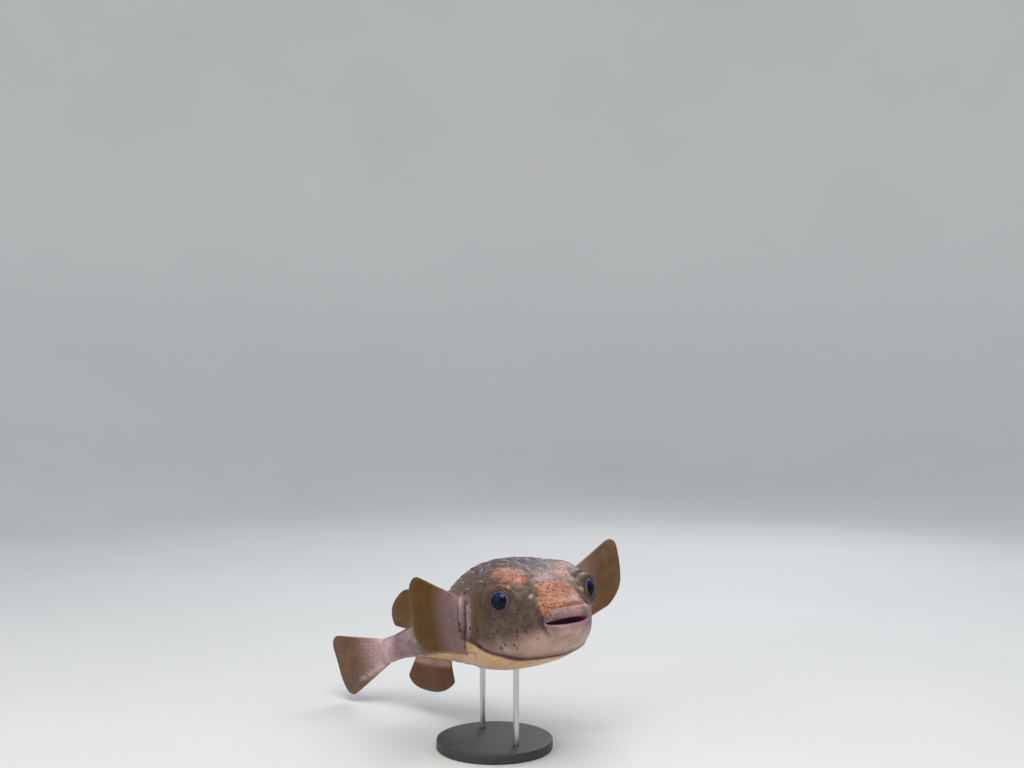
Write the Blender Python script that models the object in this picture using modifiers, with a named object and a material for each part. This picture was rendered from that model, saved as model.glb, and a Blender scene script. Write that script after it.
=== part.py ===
"""Spotted porcupine pufferfish, swimming with its tail turned, as a life-size display model.

The fish is laid out nose towards -Y, left side towards +X and back towards +Z, in shares of its standard
length (from the snout to the root of the tail fin). An empty then tips it nose up and lifts it over its
stand. The origin is the middle of the underside of the stand. Units are metres.
"""

import math
from functools import lru_cache

import bmesh
import bpy
import numpy as np
from mathutils import Matrix, Vector

# Driving dimensions
STANDARD_LENGTH = 0.44
GAP = 0.0003
PITCH_UP = math.radians(11.0)
BANK_LEFT_UP = math.radians(3.0)
BEND_START = 0.40
TAIL_TURN = math.radians(31)
TAIL_DROOP = math.radians(14)

# The body, in shares of the standard length: place, half-width, height above the axis, depth below it
STATIONS = (
    (0.018, 0.058, 0.036, 0.042),  # lips
    (0.042, 0.065, 0.050, 0.055),  # crease behind the lips
    (0.080, 0.092, 0.080, 0.078),  # snout
    (0.125, 0.121, 0.109, 0.098),
    (0.180, 0.143, 0.132, 0.114),  # brow
    (0.260, 0.157, 0.152, 0.128),
    (0.360, 0.161, 0.161, 0.136),  # pectoral fins
    (0.460, 0.136, 0.151, 0.135),
    (0.560, 0.102, 0.126, 0.122),
    (0.660, 0.072, 0.091, 0.104),
    (0.760, 0.050, 0.062, 0.080),  # dorsal and anal fins
    (0.850, 0.036, 0.044, 0.055),
    (0.930, 0.028, 0.036, 0.042),
    (1.000, 0.019, 0.038, 0.040),  # root of the tail fin
)
NOSE_ROUND = 0.018
TAIL_ROUND = 0.020
ROUNDNESS = 2.15
BROW_SQUARENESS = 0.90
BROW_PLACE, BROW_REACH = 0.17, 0.12
RIDGE_LIFT, RIDGE_PLACE, RIDGE_REACH = 0.013, 0.185, 0.065
RIDGE_ANGLE, RIDGE_SPREAD = math.radians(48), math.radians(20)
BODY_SEGMENTS = 36
BODY_RINGS = 42
FINER_AT_NOSE, FINER_AT_EYES = 3.0, 2.0

# Where the body is parted
LIP_CUT = 0.040
GILL_CUT = 0.330
STALK_CUT = 0.700

# Mouth: a flat slit, closed behind
MOUTH_UP = -0.012
GAPE_HALF_WIDTH, GAPE_HEIGHT, GAPE_DEPTH = 0.062, 0.013, 0.055

# Eyes and nostrils
EYE_PLACE, EYE_OUT, EYE_UP = 0.150, 0.113, 0.053
EYE_RADIUS = 0.036
LID_THICKNESS = 0.0065
LID_BLEND = 0.036
LID_OPENING = math.radians(44)
GAZE_RIGHT, GAZE_LEFT = math.radians(44), math.radians(32)
GAZE_UP = math.radians(3)
NOSTRIL_PLACE, NOSTRIL_ANGLE = 0.074, math.radians(38)
NOSTRIL_RADIUS, NOSTRIL_LENGTH, NOSTRIL_TAPER = 0.0060, 0.0150, 0.7

# Fins: a base line on the body, the directions (out, back, up) of the first and last ray, ray lengths
PECTORAL_BASE = ((0.348, 0.066), (0.366, -0.084))
PECTORAL_RAYS = (0.206, 0.213, 0.218, 0.216, 0.198)
PECTORAL_RIGHT = ((0.90, -0.50, 0.42), (0.93, -0.50, 0.20))
PECTORAL_LEFT = ((1.00, -0.45, 0.70), (1.00, -0.45, 0.50))
DORSAL_SPAN = (0.745, 0.850)
DORSAL_RAYS = (0.106, 0.128, 0.126, 0.108, 0.078)
DORSAL_LEAN = ((0, 0.55, 0.80), (0, 1.00, 0.42))
ANAL_SPAN = (0.715, 0.850)
ANAL_RAYS = (0.072, 0.092, 0.100, 0.098, 0.080)
ANAL_LEAN = ((0, 0.12, -1.00), (0, 1.00, -0.90))
CAUDAL_PLACE, CAUDAL_UP, CAUDAL_DOWN = 0.990, 0.033, -0.037
CAUDAL_RAYS = (0.204, 0.198, 0.190, 0.190, 0.192)
CAUDAL_LEAN = ((0, 1.00, 0.40), (0, 1.00, -0.27))
FIN_ROOT, FIN_EDGE = 0.0060, 0.0011
FIN_BURIED = 0.020
FIN_THINNING = 1.5
FIN_CUP = 0.05
CORNER_SPAN, CORNER_LOSS = 0.22, 0.13
FIN_COLUMNS, FIN_ROWS = 12, 6

# Stand
SNOUT_POINT = (0.006, -0.184, 0.190)
BASE_RADIUS = 0.070
BASE_HEIGHT = 0.012
BASE_BEVEL = 0.002
ROD_RADIUS = 0.0035
ROD_PLACES = {"front": 0.36, "rear": 0.56}
ROD_SINK = 0.007

# Shading: edges sharper than this stay crisp
CRISP_EDGE = math.radians(50)


def curve_through(places, values):
    """A smooth curve through the given values, as a function of the place."""
    slopes = np.gradient(values, places)

    def at(place):
        place = min(max(place, places[0]), places[-1])
        i = min(int(np.searchsorted(places, place, side="right")) - 1, len(places) - 2)
        step = places[i + 1] - places[i]
        t = (place - places[i]) / step
        start = values[i] * (1 + 2 * t) + slopes[i] * step * t
        end = values[i + 1] * (3 - 2 * t) - slopes[i + 1] * step * (1 - t)
        return float(start * (1 - t) ** 2 + end * t**2)

    return at


PLACES, WIDTHS, HEIGHTS, DEPTHS = np.array(STATIONS).T
half_width = curve_through(PLACES, WIDTHS)
height_above = curve_through(PLACES, HEIGHTS)
depth_below = curve_through(PLACES, DEPTHS)


@lru_cache(maxsize=None)
def axes_at(place):
    """The body's left, backward and upward directions at a place along it."""
    share = max(0.0, (place - BEND_START) / (1 - BEND_START))
    turn, droop = TAIL_TURN * share, TAIL_DROOP * share
    level = math.cos(droop)
    back = Vector((-math.sin(turn) * level, math.cos(turn) * level, -math.sin(droop)))
    left = Vector((math.cos(turn), math.sin(turn), 0))
    return left, back, left.cross(back)


@lru_cache(maxsize=None)
def axis_point(place, steps=40):
    """The point of the bent axis at a place, found by adding short steps."""
    point = Vector((0, min(place, BEND_START), 0))
    step = max(0.0, place - BEND_START) / steps
    for i in range(steps):
        point += axes_at(BEND_START + (i + 0.5) * step)[1] * step
    return point


def body_point(place, side, up):
    """The point beside the axis in metres, from shares of the standard length."""
    left, _, upward = axes_at(place)
    return (axis_point(place) + left * side + upward * up) * STANDARD_LENGTH


def bell(value, middle, reach):
    """A bell curve: 1 at the middle and about a third one reach away."""
    return math.exp(-(((value - middle) / reach) ** 2))


def eye_centre(side):
    """Centre of the eyeball; side is 1 on the left and -1 on the right."""
    return body_point(EYE_PLACE, side * EYE_OUT, EYE_UP)


def gaze(side):
    """The way an eye looks. The eyes swivel on their own, so the two differ."""
    out = GAZE_LEFT if side > 0 else GAZE_RIGHT
    level = math.cos(GAZE_UP)
    return Vector((side * math.sin(out) * level, -math.cos(out) * level, math.sin(GAZE_UP)))


def swell_over(point, centre, radius, blend):
    """Lifts a point off a ball, with a soft blend between the ball and what it stands on."""
    away = point - centre
    distance = away.length
    near = max(0.0, blend - abs(distance - radius)) / blend
    lifted = max(distance, radius) + near * near * blend / 4
    return centre + away * (lifted / distance)


def section_roundness(place, upper):
    """Exponent of the section's curve: squarer over the eyes, nearly elliptic elsewhere."""
    extra = BROW_SQUARENESS if upper else BROW_SQUARENESS / 2
    return ROUNDNESS + extra * bell(place, BROW_PLACE, BROW_REACH)


def skin_point(place, angle, offset=0.0):
    """A point of the skin; the angle is 0 on the left flank and a quarter turn on the back."""
    across, along = math.cos(angle), math.sin(angle)
    power = 2 / section_roundness(place, along > 0)
    nose = 1 - min(1.0, place / NOSE_ROUND)
    tail = 1 - min(1.0, (1 - place) / TAIL_ROUND)
    closing = math.sqrt(1 - nose**2) * math.sqrt(1 - tail**2)
    tall = height_above(place) if along > 0 else depth_below(place)
    side = closing * half_width(place) * math.copysign(abs(across) ** power, across)
    up = closing * tall * math.copysign(abs(along) ** power, along)
    from_side = math.atan2(along, abs(across))
    ridge = RIDGE_LIFT * bell(place, RIDGE_PLACE, RIDGE_REACH) * bell(from_side, RIDGE_ANGLE, RIDGE_SPREAD)
    point = body_point(place, side + ridge * across, up + ridge * along)
    for eye_side in (-1, 1):
        lid = (EYE_RADIUS + LID_THICKNESS) * STANDARD_LENGTH
        point = swell_over(point, eye_centre(eye_side), lid, LID_BLEND * STANDARD_LENGTH)
    if offset:
        left, back, upward = axes_at(place)
        lengthwise = tail - nose
        point = point + ((left * across + upward * along) * closing + back * lengthwise) * offset
    return point


def flank(place, up):
    """Half-width of the body at a height above or below its axis."""
    tall = height_above(place) if up > 0 else depth_below(place)
    power = section_roundness(place, up > 0)
    return half_width(place) * (1 - min(1.0, abs(up) / tall) ** power) ** (1 / power)


def finish(name, colour, roughness, metallic=0.0):
    """A Principled material of one colour."""
    material = bpy.data.materials.new(name)
    material.use_nodes = True
    shader = material.node_tree.nodes["Principled BSDF"]
    shader.inputs["Base Color"].default_value = (*colour, 1)
    shader.inputs["Roughness"].default_value = roughness
    shader.inputs["Metallic"].default_value = metallic
    return material


def new_collection(name):
    """A collection of the scene."""
    collection = bpy.data.collections.new(name)
    bpy.context.scene.collection.children.link(collection)
    return collection


def new_object(name, bm, collection, parent=None, material=None):
    """Stores a bmesh as a named object."""
    mesh = bpy.data.meshes.new(name)
    bmesh.ops.recalc_face_normals(bm, faces=bm.faces)
    if bm.calc_volume(signed=True) < 0:
        bmesh.ops.reverse_faces(bm, faces=bm.faces)
    bm.to_mesh(mesh)
    bm.free()
    obj = bpy.data.objects.new(name, mesh)
    obj.parent = parent
    collection.objects.link(obj)
    if material:
        mesh.materials.append(material)
        mesh.shade_smooth()
        mesh.set_sharp_from_angle(angle=CRISP_EDGE)
    return obj


def as_cutter(obj):
    """Marks an object as a cutter, which is no part of the model."""
    obj.hide_render = True
    obj.display_type = "WIRE"
    return obj


def cut(obj, *cutters):
    """Takes the cutters' shapes out of an object."""
    for cutter in cutters:
        modifier = obj.modifiers.new("cut by " + cutter.name, "BOOLEAN")
        modifier.operation = "DIFFERENCE"
        modifier.solver = "EXACT"
        modifier.object = cutter


def crowded(start, end, density):
    """Spreads the shares 0 to 1 over a range so that they lie closer together where the density is high."""
    values = np.linspace(start, end, 400)
    reached = np.cumsum([density(value) for value in values])
    reached = (reached - reached[0]) / (reached[-1] - reached[0])
    return lambda share: round(float(np.interp(share, reached, values)), 6)


place_of_ring = crowded(
    0, 1, lambda place: 1 + FINER_AT_NOSE * bell(place, 0, 0.04) + FINER_AT_EYES * bell(place, EYE_PLACE, 0.07)
)
angle_from_back = crowded(
    math.pi / 2, -math.pi / 2, lambda angle: 1 + FINER_AT_EYES * bell(angle, math.atan2(EYE_UP, EYE_OUT), 0.4)
)


def body_form(offset=0.0):
    """The whole body as one closed form, its faces smaller at the mouth and round the eyes."""
    bm = bmesh.new()
    bmesh.ops.create_uvsphere(bm, u_segments=BODY_SEGMENTS, v_segments=BODY_RINGS, radius=1)
    for vert in bm.verts:
        place = place_of_ring(math.acos(max(-1.0, min(1.0, vert.co.z))) / math.pi)
        from_back = math.atan2(vert.co.x, vert.co.y)
        angle = angle_from_back(abs(from_back) / math.pi)
        vert.co = skin_point(place, angle if from_back >= 0 else math.pi - angle, offset)
    return bm


def trim(bm, point, normal):
    """Cuts off what lies beyond a plane and closes the cut."""
    everything = bm.verts[:] + bm.edges[:] + bm.faces[:]
    bmesh.ops.bisect_plane(bm, geom=everything, plane_co=point, plane_no=normal, clear_outer=True)
    rim = [edge for edge in bm.edges if edge.is_boundary]
    bmesh.ops.contextual_create(bm, geom=rim)


def body_length(start, end):
    """The stretch of the body between two places, with flat ends."""
    bm = body_form()
    half_gap = GAP / 2
    if start > 0:
        back = axes_at(start)[1]
        trim(bm, body_point(start, 0, 0) + back * half_gap, -back)
    if end < 1:
        back = axes_at(end)[1]
        trim(bm, body_point(end, 0, 0) - back * half_gap, back)
    return bm


def ball(centre, radii, segments, rings):
    """A ball or egg about a centre."""
    bm = bmesh.new()
    bmesh.ops.create_uvsphere(bm, u_segments=segments, v_segments=rings, radius=1)
    bmesh.ops.scale(bm, verts=bm.verts, vec=radii)
    bmesh.ops.translate(bm, verts=bm.verts, vec=centre)
    return bm


def rod_between(start, end, radius_start, radius_end, segments):
    """A straight round bar or cone from one point to another."""
    bm = bmesh.new()
    along = end - start
    turned = along.to_track_quat("Z", "Y").to_matrix().to_4x4()
    bmesh.ops.create_cone(
        bm,
        cap_ends=True,
        segments=segments,
        radius1=radius_start,
        radius2=radius_end,
        depth=along.length,
        matrix=Matrix.Translation((start + end) / 2) @ turned,
    )
    return bm


def fan(name, base, leans, rays, place, side, collection, parent, material):
    """A fin: rays that fan out from a base line, thick at the root and thin at the edge.

    The base is a pair of points, the leans are directions (out, back, up) in the body's own axes at the
    place, and side is 1 on the left and -1 on the right.
    """
    left, back, upward = axes_at(place)
    ways = [(left * side * out + back * rear + upward * up).normalized() for out, rear, up in leans]
    across = ways[0].cross(ways[1]).normalized()
    spread = ways[0].angle(ways[1])
    length_at = curve_through(np.linspace(0, 1, len(rays)), np.array(rays))
    bm = bmesh.new()
    bmesh.ops.create_grid(bm, x_segments=FIN_COLUMNS, y_segments=FIN_ROWS, size=1)
    shares = []
    for vert in bm.verts:
        share, out = (vert.co.x + 1) / 2, (vert.co.y + 1) / 2
        corner = max(0.0, 1 - min(share, 1 - share) / CORNER_SPAN)
        reach = (length_at(share) * (1 - CORNER_LOSS * corner**2) + FIN_BURIED) * STANDARD_LENGTH
        way = (ways[0] * math.sin((1 - share) * spread) + ways[1] * math.sin(share * spread)) / math.sin(spread)
        bow = across * side * FIN_CUP * reach * (out**2 - out)
        vert.co = base[0].lerp(base[1], share) + way * reach * out + bow
        shares.append((1 - out) ** FIN_THINNING)
    obj = new_object(name, bm, collection, parent, material)
    group = obj.vertex_groups.new(name="thickness")
    for index, share in enumerate(shares):
        group.add([index], share, "REPLACE")
    solid = obj.modifiers.new("thickness", "SOLIDIFY")
    solid.thickness = FIN_ROOT
    solid.offset = 0
    solid.vertex_group = group.name
    solid.thickness_vertex_group = FIN_EDGE / FIN_ROOT
    return obj


def pectoral(name, side, leans, collection, parent, material):
    """A side fin, rooted on a steep line behind the gill slit."""
    base = [body_point(place, side * (flank(place, up) - FIN_BURIED), up) for place, up in PECTORAL_BASE]
    return fan(name, base, leans, PECTORAL_RAYS, PECTORAL_BASE[0][0], side, collection, parent, material)


def median_fin(name, span, upper, leans, rays, collection, parent, material):
    """A fin on the middle line of the back or belly."""
    tall = height_above if upper else depth_below
    sign = 1 if upper else -1
    base = [body_point(place, 0, sign * (tall(place) - FIN_BURIED)) for place in span]
    return fan(name, base, leans, rays, sum(span) / 2, 1, collection, parent, material)


def fish(parts, cutters, pose):
    """The body's parts, its eyes, nostrils and fins. Returns the trunk, which the stand's rods enter."""
    size = STANDARD_LENGTH
    brow = finish("brow skin", (0.42, 0.25, 0.16), 0.45)
    flesh = finish("flank skin", (0.33, 0.26, 0.20), 0.45)
    stalk = finish("tail skin", (0.46, 0.33, 0.28), 0.45)
    lip = finish("lip skin", (0.50, 0.33, 0.30), 0.40)
    jaw = finish("jaw skin", (0.52, 0.42, 0.34), 0.40)
    web = finish("fin web", (0.33, 0.24, 0.13), 0.50)

    around = as_cutter(new_object("body_outside", body_form(GAP), cutters, pose))
    gape_centre = Vector((0, 0, MOUTH_UP * size))
    half_gape = Vector((0, 0, GAPE_HEIGHT * size / 2))
    gape_form = rod_between(gape_centre - half_gape, gape_centre + half_gape, 1, 1, 40)
    bmesh.ops.scale(gape_form, verts=gape_form.verts, vec=(GAPE_HALF_WIDTH * size, GAPE_DEPTH * size, 1))
    gape = as_cutter(new_object("gape", gape_form, cutters, pose))

    head = new_object("head", body_length(LIP_CUT, GILL_CUT), parts, pose, brow)
    trunk = new_object("trunk", body_length(GILL_CUT, STALK_CUT), parts, pose, flesh)
    new_object("tail_stalk", body_length(STALK_CUT, 1), parts, pose, stalk)
    cut(head, gape)

    lips = {"upper_lip": (lip, -1), "lower_lip": (jaw, 1)}
    for name, (material, way) in lips.items():
        bm = body_length(0, LIP_CUT)
        trim(bm, gape_centre - Vector((0, 0, way * GAP / 2)), Vector((0, 0, way)))
        cut(new_object(name, bm, parts, pose, material), gape)

    eyeball = finish("eye", (0.02, 0.03, 0.05), 0.05)
    nostril_skin = finish("nostril skin", (0.42, 0.30, 0.24), 0.45)
    for side, word in ((-1, "right"), (1, "left")):
        centre = eye_centre(side)
        radius = EYE_RADIUS * size
        socket = new_object("socket_" + word, ball(centre, (radius + GAP,) * 3, 28, 16), cutters, pose)
        reach = radius * 2
        opening_end = centre + gaze(side) * reach
        opening = rod_between(centre, opening_end, GAP, reach * math.tan(LID_OPENING), 32)
        lids_gap = new_object("lid_opening_" + word, opening, cutters, pose)
        cut(head, as_cutter(socket), as_cutter(lids_gap))
        new_object("eye_" + word, ball(centre, (radius,) * 3, 22, 14), parts, pose, eyeball)

        angle = NOSTRIL_ANGLE if side > 0 else math.pi - NOSTRIL_ANGLE
        root = skin_point(NOSTRIL_PLACE, angle)
        outward = (root - body_point(NOSTRIL_PLACE + NOSTRIL_LENGTH, 0, 0)).normalized()
        tip = root + outward * NOSTRIL_LENGTH * size / 2
        wide = NOSTRIL_RADIUS * size
        nostril = rod_between(root - outward * wide, tip, wide, wide * NOSTRIL_TAPER, 14)
        tube = new_object("nostril_" + word, nostril, parts, pose, nostril_skin)
        cut(tube, around)

    pectoral("pectoral_fin_right", -1, PECTORAL_RIGHT, parts, pose, web)
    pectoral("pectoral_fin_left", 1, PECTORAL_LEFT, parts, pose, web)
    median_fin("dorsal_fin", DORSAL_SPAN, True, DORSAL_LEAN, DORSAL_RAYS, parts, pose, web)
    median_fin("anal_fin", ANAL_SPAN, False, ANAL_LEAN, ANAL_RAYS, parts, pose, web)
    tail_base = [body_point(CAUDAL_PLACE - FIN_BURIED, 0, up) for up in (CAUDAL_UP, CAUDAL_DOWN)]
    fan("caudal_fin", tail_base, CAUDAL_LEAN, CAUDAL_RAYS, 1, 1, parts, pose, web)
    for obj in parts.objects:
        if obj.name.endswith("fin") or "_fin_" in obj.name:
            cut(obj, around)
    return trunk


def stand(parts, cutters, pose, trunk):
    """A round plate and two upright rods that end in short sockets in the belly."""
    steel = finish("stand steel", (0.55, 0.56, 0.58), 0.35, 1.0)
    plate = finish("stand plate", (0.10, 0.10, 0.11), 0.45)
    plate_form = rod_between(Vector((0, 0, 0)), Vector((0, 0, BASE_HEIGHT)), BASE_RADIUS, BASE_RADIUS, 40)
    base = new_object("stand_base", plate_form, parts, None, plate)
    edge = base.modifiers.new("rounded edge", "BEVEL")
    edge.width = BASE_BEVEL
    edge.segments = 2
    edge.limit_method = "ANGLE"
    for word, place in ROD_PLACES.items():
        belly = pose.matrix_world @ skin_point(place, -math.pi / 2)
        foot = Vector((belly.x, belly.y, BASE_HEIGHT + GAP))
        top = Vector((belly.x, belly.y, belly.z + ROD_SINK))
        new_object("stand_rod_" + word, rod_between(foot, top, ROD_RADIUS, ROD_RADIUS, 20), parts, None, steel)
        hole = rod_between(foot, top + Vector((0, 0, GAP)), ROD_RADIUS + GAP, ROD_RADIUS + GAP, 20)
        cut(trunk, as_cutter(new_object("socket_rod_" + word, hole, cutters)))


def main():
    """Clears the scene and builds the fish on its stand."""
    for old in list(bpy.data.objects):
        bpy.data.objects.remove(old)
    parts = new_collection("porcupinefish")
    cutters = new_collection("cutters")
    pose = bpy.data.objects.new("swimming_pose", None)
    parts.objects.link(pose)
    pose.rotation_mode = "YXZ"
    pose.rotation_euler = (-PITCH_UP, -BANK_LEFT_UP, 0)
    pose.location = SNOUT_POINT
    bpy.context.view_layer.update()
    trunk = fish(parts, cutters, pose)
    stand(parts, cutters, pose, trunk)


if __name__ == "__main__":
    main()
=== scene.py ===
"""Museum model of a spotted porcupinefish on its display stand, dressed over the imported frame.

Lengths are metres. The fish is worked out in its own frame (snout at the origin, nose towards -Y, left side
towards +X, back towards +Z) and then tipped and lifted into the frame's place, so every finished object sits
unturned at the origin.
"""

import logging
import math
from dataclasses import dataclass, field
from enum import Enum
from functools import cached_property
from typing import Callable, Iterable, Sequence

import bmesh
import bpy
import numpy as np
from mathutils import Matrix, Vector


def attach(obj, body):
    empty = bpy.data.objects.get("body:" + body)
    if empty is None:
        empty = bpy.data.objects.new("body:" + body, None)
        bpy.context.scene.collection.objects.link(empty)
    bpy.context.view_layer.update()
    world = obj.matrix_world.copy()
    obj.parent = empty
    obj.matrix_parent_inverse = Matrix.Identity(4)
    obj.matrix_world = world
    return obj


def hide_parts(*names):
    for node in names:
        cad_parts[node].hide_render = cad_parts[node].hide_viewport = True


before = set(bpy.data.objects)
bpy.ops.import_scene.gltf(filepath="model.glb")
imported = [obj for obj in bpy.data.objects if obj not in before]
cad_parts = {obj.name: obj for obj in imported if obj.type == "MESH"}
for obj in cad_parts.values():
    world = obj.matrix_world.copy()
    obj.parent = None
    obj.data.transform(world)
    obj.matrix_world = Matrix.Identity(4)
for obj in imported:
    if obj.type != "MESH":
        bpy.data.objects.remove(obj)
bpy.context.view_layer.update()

log = logging.getLogger("porcupinefish")

Array = np.ndarray
Socket = bpy.types.NodeSocket
Colour = tuple[float, float, float]


class Side(Enum):
    """A side of the fish; the value is the sign of its +X half."""

    RIGHT = -1
    LEFT = 1

    @property
    def word(self) -> str:
        """The side's name in lower case."""
        return self.name.lower()


def bell(value: Array, middle: float, reach: float) -> Array:
    """A bell curve: 1 at the middle and about a third one reach away."""
    return np.exp(-(((value - middle) / reach) ** 2))


def ease(value: Array, low: float, high: float) -> Array:
    """Rises smoothly from 0 at low to 1 at high; low may be above high, and then it falls."""
    share = np.clip((value - low) / (high - low), 0.0, 1.0)
    return share * share * (3 - 2 * share)


def unit(vectors: Array) -> Array:
    """The vectors at length 1, along the last axis."""
    return vectors / np.linalg.norm(vectors, axis=-1, keepdims=True)


def elevation(angle: Array) -> Array:
    """How far an angle round the body lies above the flanks, in degrees: 90 on the back, -90 under the belly."""
    return np.degrees(np.arctan2(np.sin(angle), np.abs(np.cos(angle))))


def curve_through(places: Array, values: Array) -> Callable[[Array], Array]:
    """A smooth curve through the given values.

    Args:
        places: Where the values are, rising.
        values: The values there.

    Returns:
        A function from places to values.
    """
    slopes = np.gradient(values, places)

    def at(place: Array) -> Array:
        place = np.clip(place, places[0], places[-1])
        i = np.clip(np.searchsorted(places, place, side="right") - 1, 0, len(places) - 2)
        step = places[i + 1] - places[i]
        t = (place - places[i]) / step
        start = values[i] * (1 + 2 * t) + slopes[i] * step * t
        end = values[i + 1] * (3 - 2 * t) - slopes[i + 1] * step * (1 - t)
        return start * (1 - t) ** 2 + end * t**2

    return at


def crowded(start: float, end: float, count: int, density: Callable[[Array], Array]) -> Array:
    """Values from start to end that lie closer together where the density is high.

    Args:
        start: First value.
        end: Last value.
        count: How many values.
        density: Relative density at a value.

    Returns:
        The values.
    """
    walk = np.linspace(start, end, 2000)
    reached = np.cumsum(density(walk))
    reached = (reached - reached[0]) / (reached[-1] - reached[0])
    return np.interp(np.linspace(0, 1, count), reached, walk)


def deselect_all() -> None:
    """Leaves nothing selected, so that an operator acts only on what comes next."""
    bpy.ops.object.select_all(action="DESELECT")


def add_object(name: str, data: bpy.types.ID) -> bpy.types.Object:
    """A new object at the origin, linked to the scene."""
    obj = bpy.data.objects.new(name, data)
    bpy.context.scene.collection.objects.link(obj)
    return obj


def closed(numbers: Array) -> Array:
    """A grid of vertex numbers with its first column again at the end, so that the rows close to rings."""
    return np.concatenate([numbers, numbers[:, :1]], axis=1)


def quads(numbers: Array, keep: Array | bool = True) -> list[list[int]]:
    """The faces between neighbours in a grid of vertex numbers, apart from those not kept."""
    faces = np.stack([numbers[:-1, :-1], numbers[:-1, 1:], numbers[1:, 1:], numbers[1:, :-1]], -1)
    return faces[np.broadcast_to(keep, faces.shape[:2])].tolist()


def mesh_object(name: str, points: Array, faces: Sequence[Sequence[int]]) -> bpy.types.Object:
    """A smooth-shaded mesh object at the origin.

    Args:
        name: Its name.
        points: Vertex places, (n, 3).
        faces: Vertex numbers of each face, counter-clockwise from outside.

    Returns:
        The object, linked to the scene.
    """
    mesh = bpy.data.meshes.new(name)
    mesh.from_pydata(points.tolist(), [], faces)
    mesh.validate()
    mesh.shade_smooth()
    return add_object(name, mesh)


def points_of(obj: bpy.types.Object) -> Array:
    """The vertex places of a mesh object, (n, 3)."""
    flat = np.empty(len(obj.data.vertices) * 3)
    obj.data.vertices.foreach_get("co", flat)
    return flat.reshape(-1, 3)


def move_points(obj: bpy.types.Object, points: Array) -> None:
    """Gives a mesh object new vertex places."""
    obj.data.vertices.foreach_set("co", points.ravel())
    obj.data.update()


def normals_of(obj: bpy.types.Object) -> Array:
    """The vertex normals of a mesh object, (n, 3)."""
    flat = np.empty(len(obj.data.vertices) * 3)
    obj.data.vertex_normals.foreach_get("vector", flat)
    return flat.reshape(-1, 3)


def store_masks(obj: bpy.types.Object, masks: dict[str, Array]) -> None:
    """Keeps per-vertex values or vectors on a mesh, for its material to read."""
    for name, values in masks.items():
        values = np.asarray(values, np.float32)
        if values.ndim > 1:
            obj.data.attributes.new(name, "FLOAT_VECTOR", "POINT").data.foreach_set("vector", values.ravel())
        else:
            obj.data.attributes.new(name, "FLOAT", "POINT").data.foreach_set("value", values)


def drop_loose(obj: bpy.types.Object) -> None:
    """Removes the points of a mesh that no face uses."""
    deselect_all()
    obj.select_set(True)
    bpy.context.view_layer.objects.active = obj
    bpy.ops.object.mode_set(mode="EDIT")
    bpy.ops.mesh.select_all(action="SELECT")
    bpy.ops.mesh.delete_loose()
    bpy.ops.object.mode_set(mode="OBJECT")
    obj.select_set(False)


def face_outwards(obj: bpy.types.Object) -> None:
    """Turns every face of a closed mesh outwards."""
    bm = bmesh.new()
    bm.from_mesh(obj.data)
    bmesh.ops.recalc_face_normals(bm, faces=bm.faces)
    if bm.calc_volume(signed=True) < 0:
        bmesh.ops.reverse_faces(bm, faces=bm.faces)
    bm.to_mesh(obj.data)
    bm.free()


@dataclass(frozen=True)
class Pose:
    """How the fish is tipped and lifted over its stand."""

    pitch_up: float = math.radians(11.0)
    bank_left_up: float = math.radians(3.0)
    snout: tuple[float, float, float] = (0.006, -0.184, 0.190)

    @cached_property
    def matrix(self) -> Matrix:
        """From the fish's own frame to the row frame."""
        tipped = Matrix.Rotation(-self.pitch_up, 4, "X") @ Matrix.Rotation(-self.bank_left_up, 4, "Y")
        return Matrix.Translation(self.snout) @ tipped

    def place(self, points: Array) -> Array:
        """Points of the fish's own frame, in the row frame."""
        turn = np.array(self.matrix.to_3x3())
        return points @ turn.T + np.array(self.snout)


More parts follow.
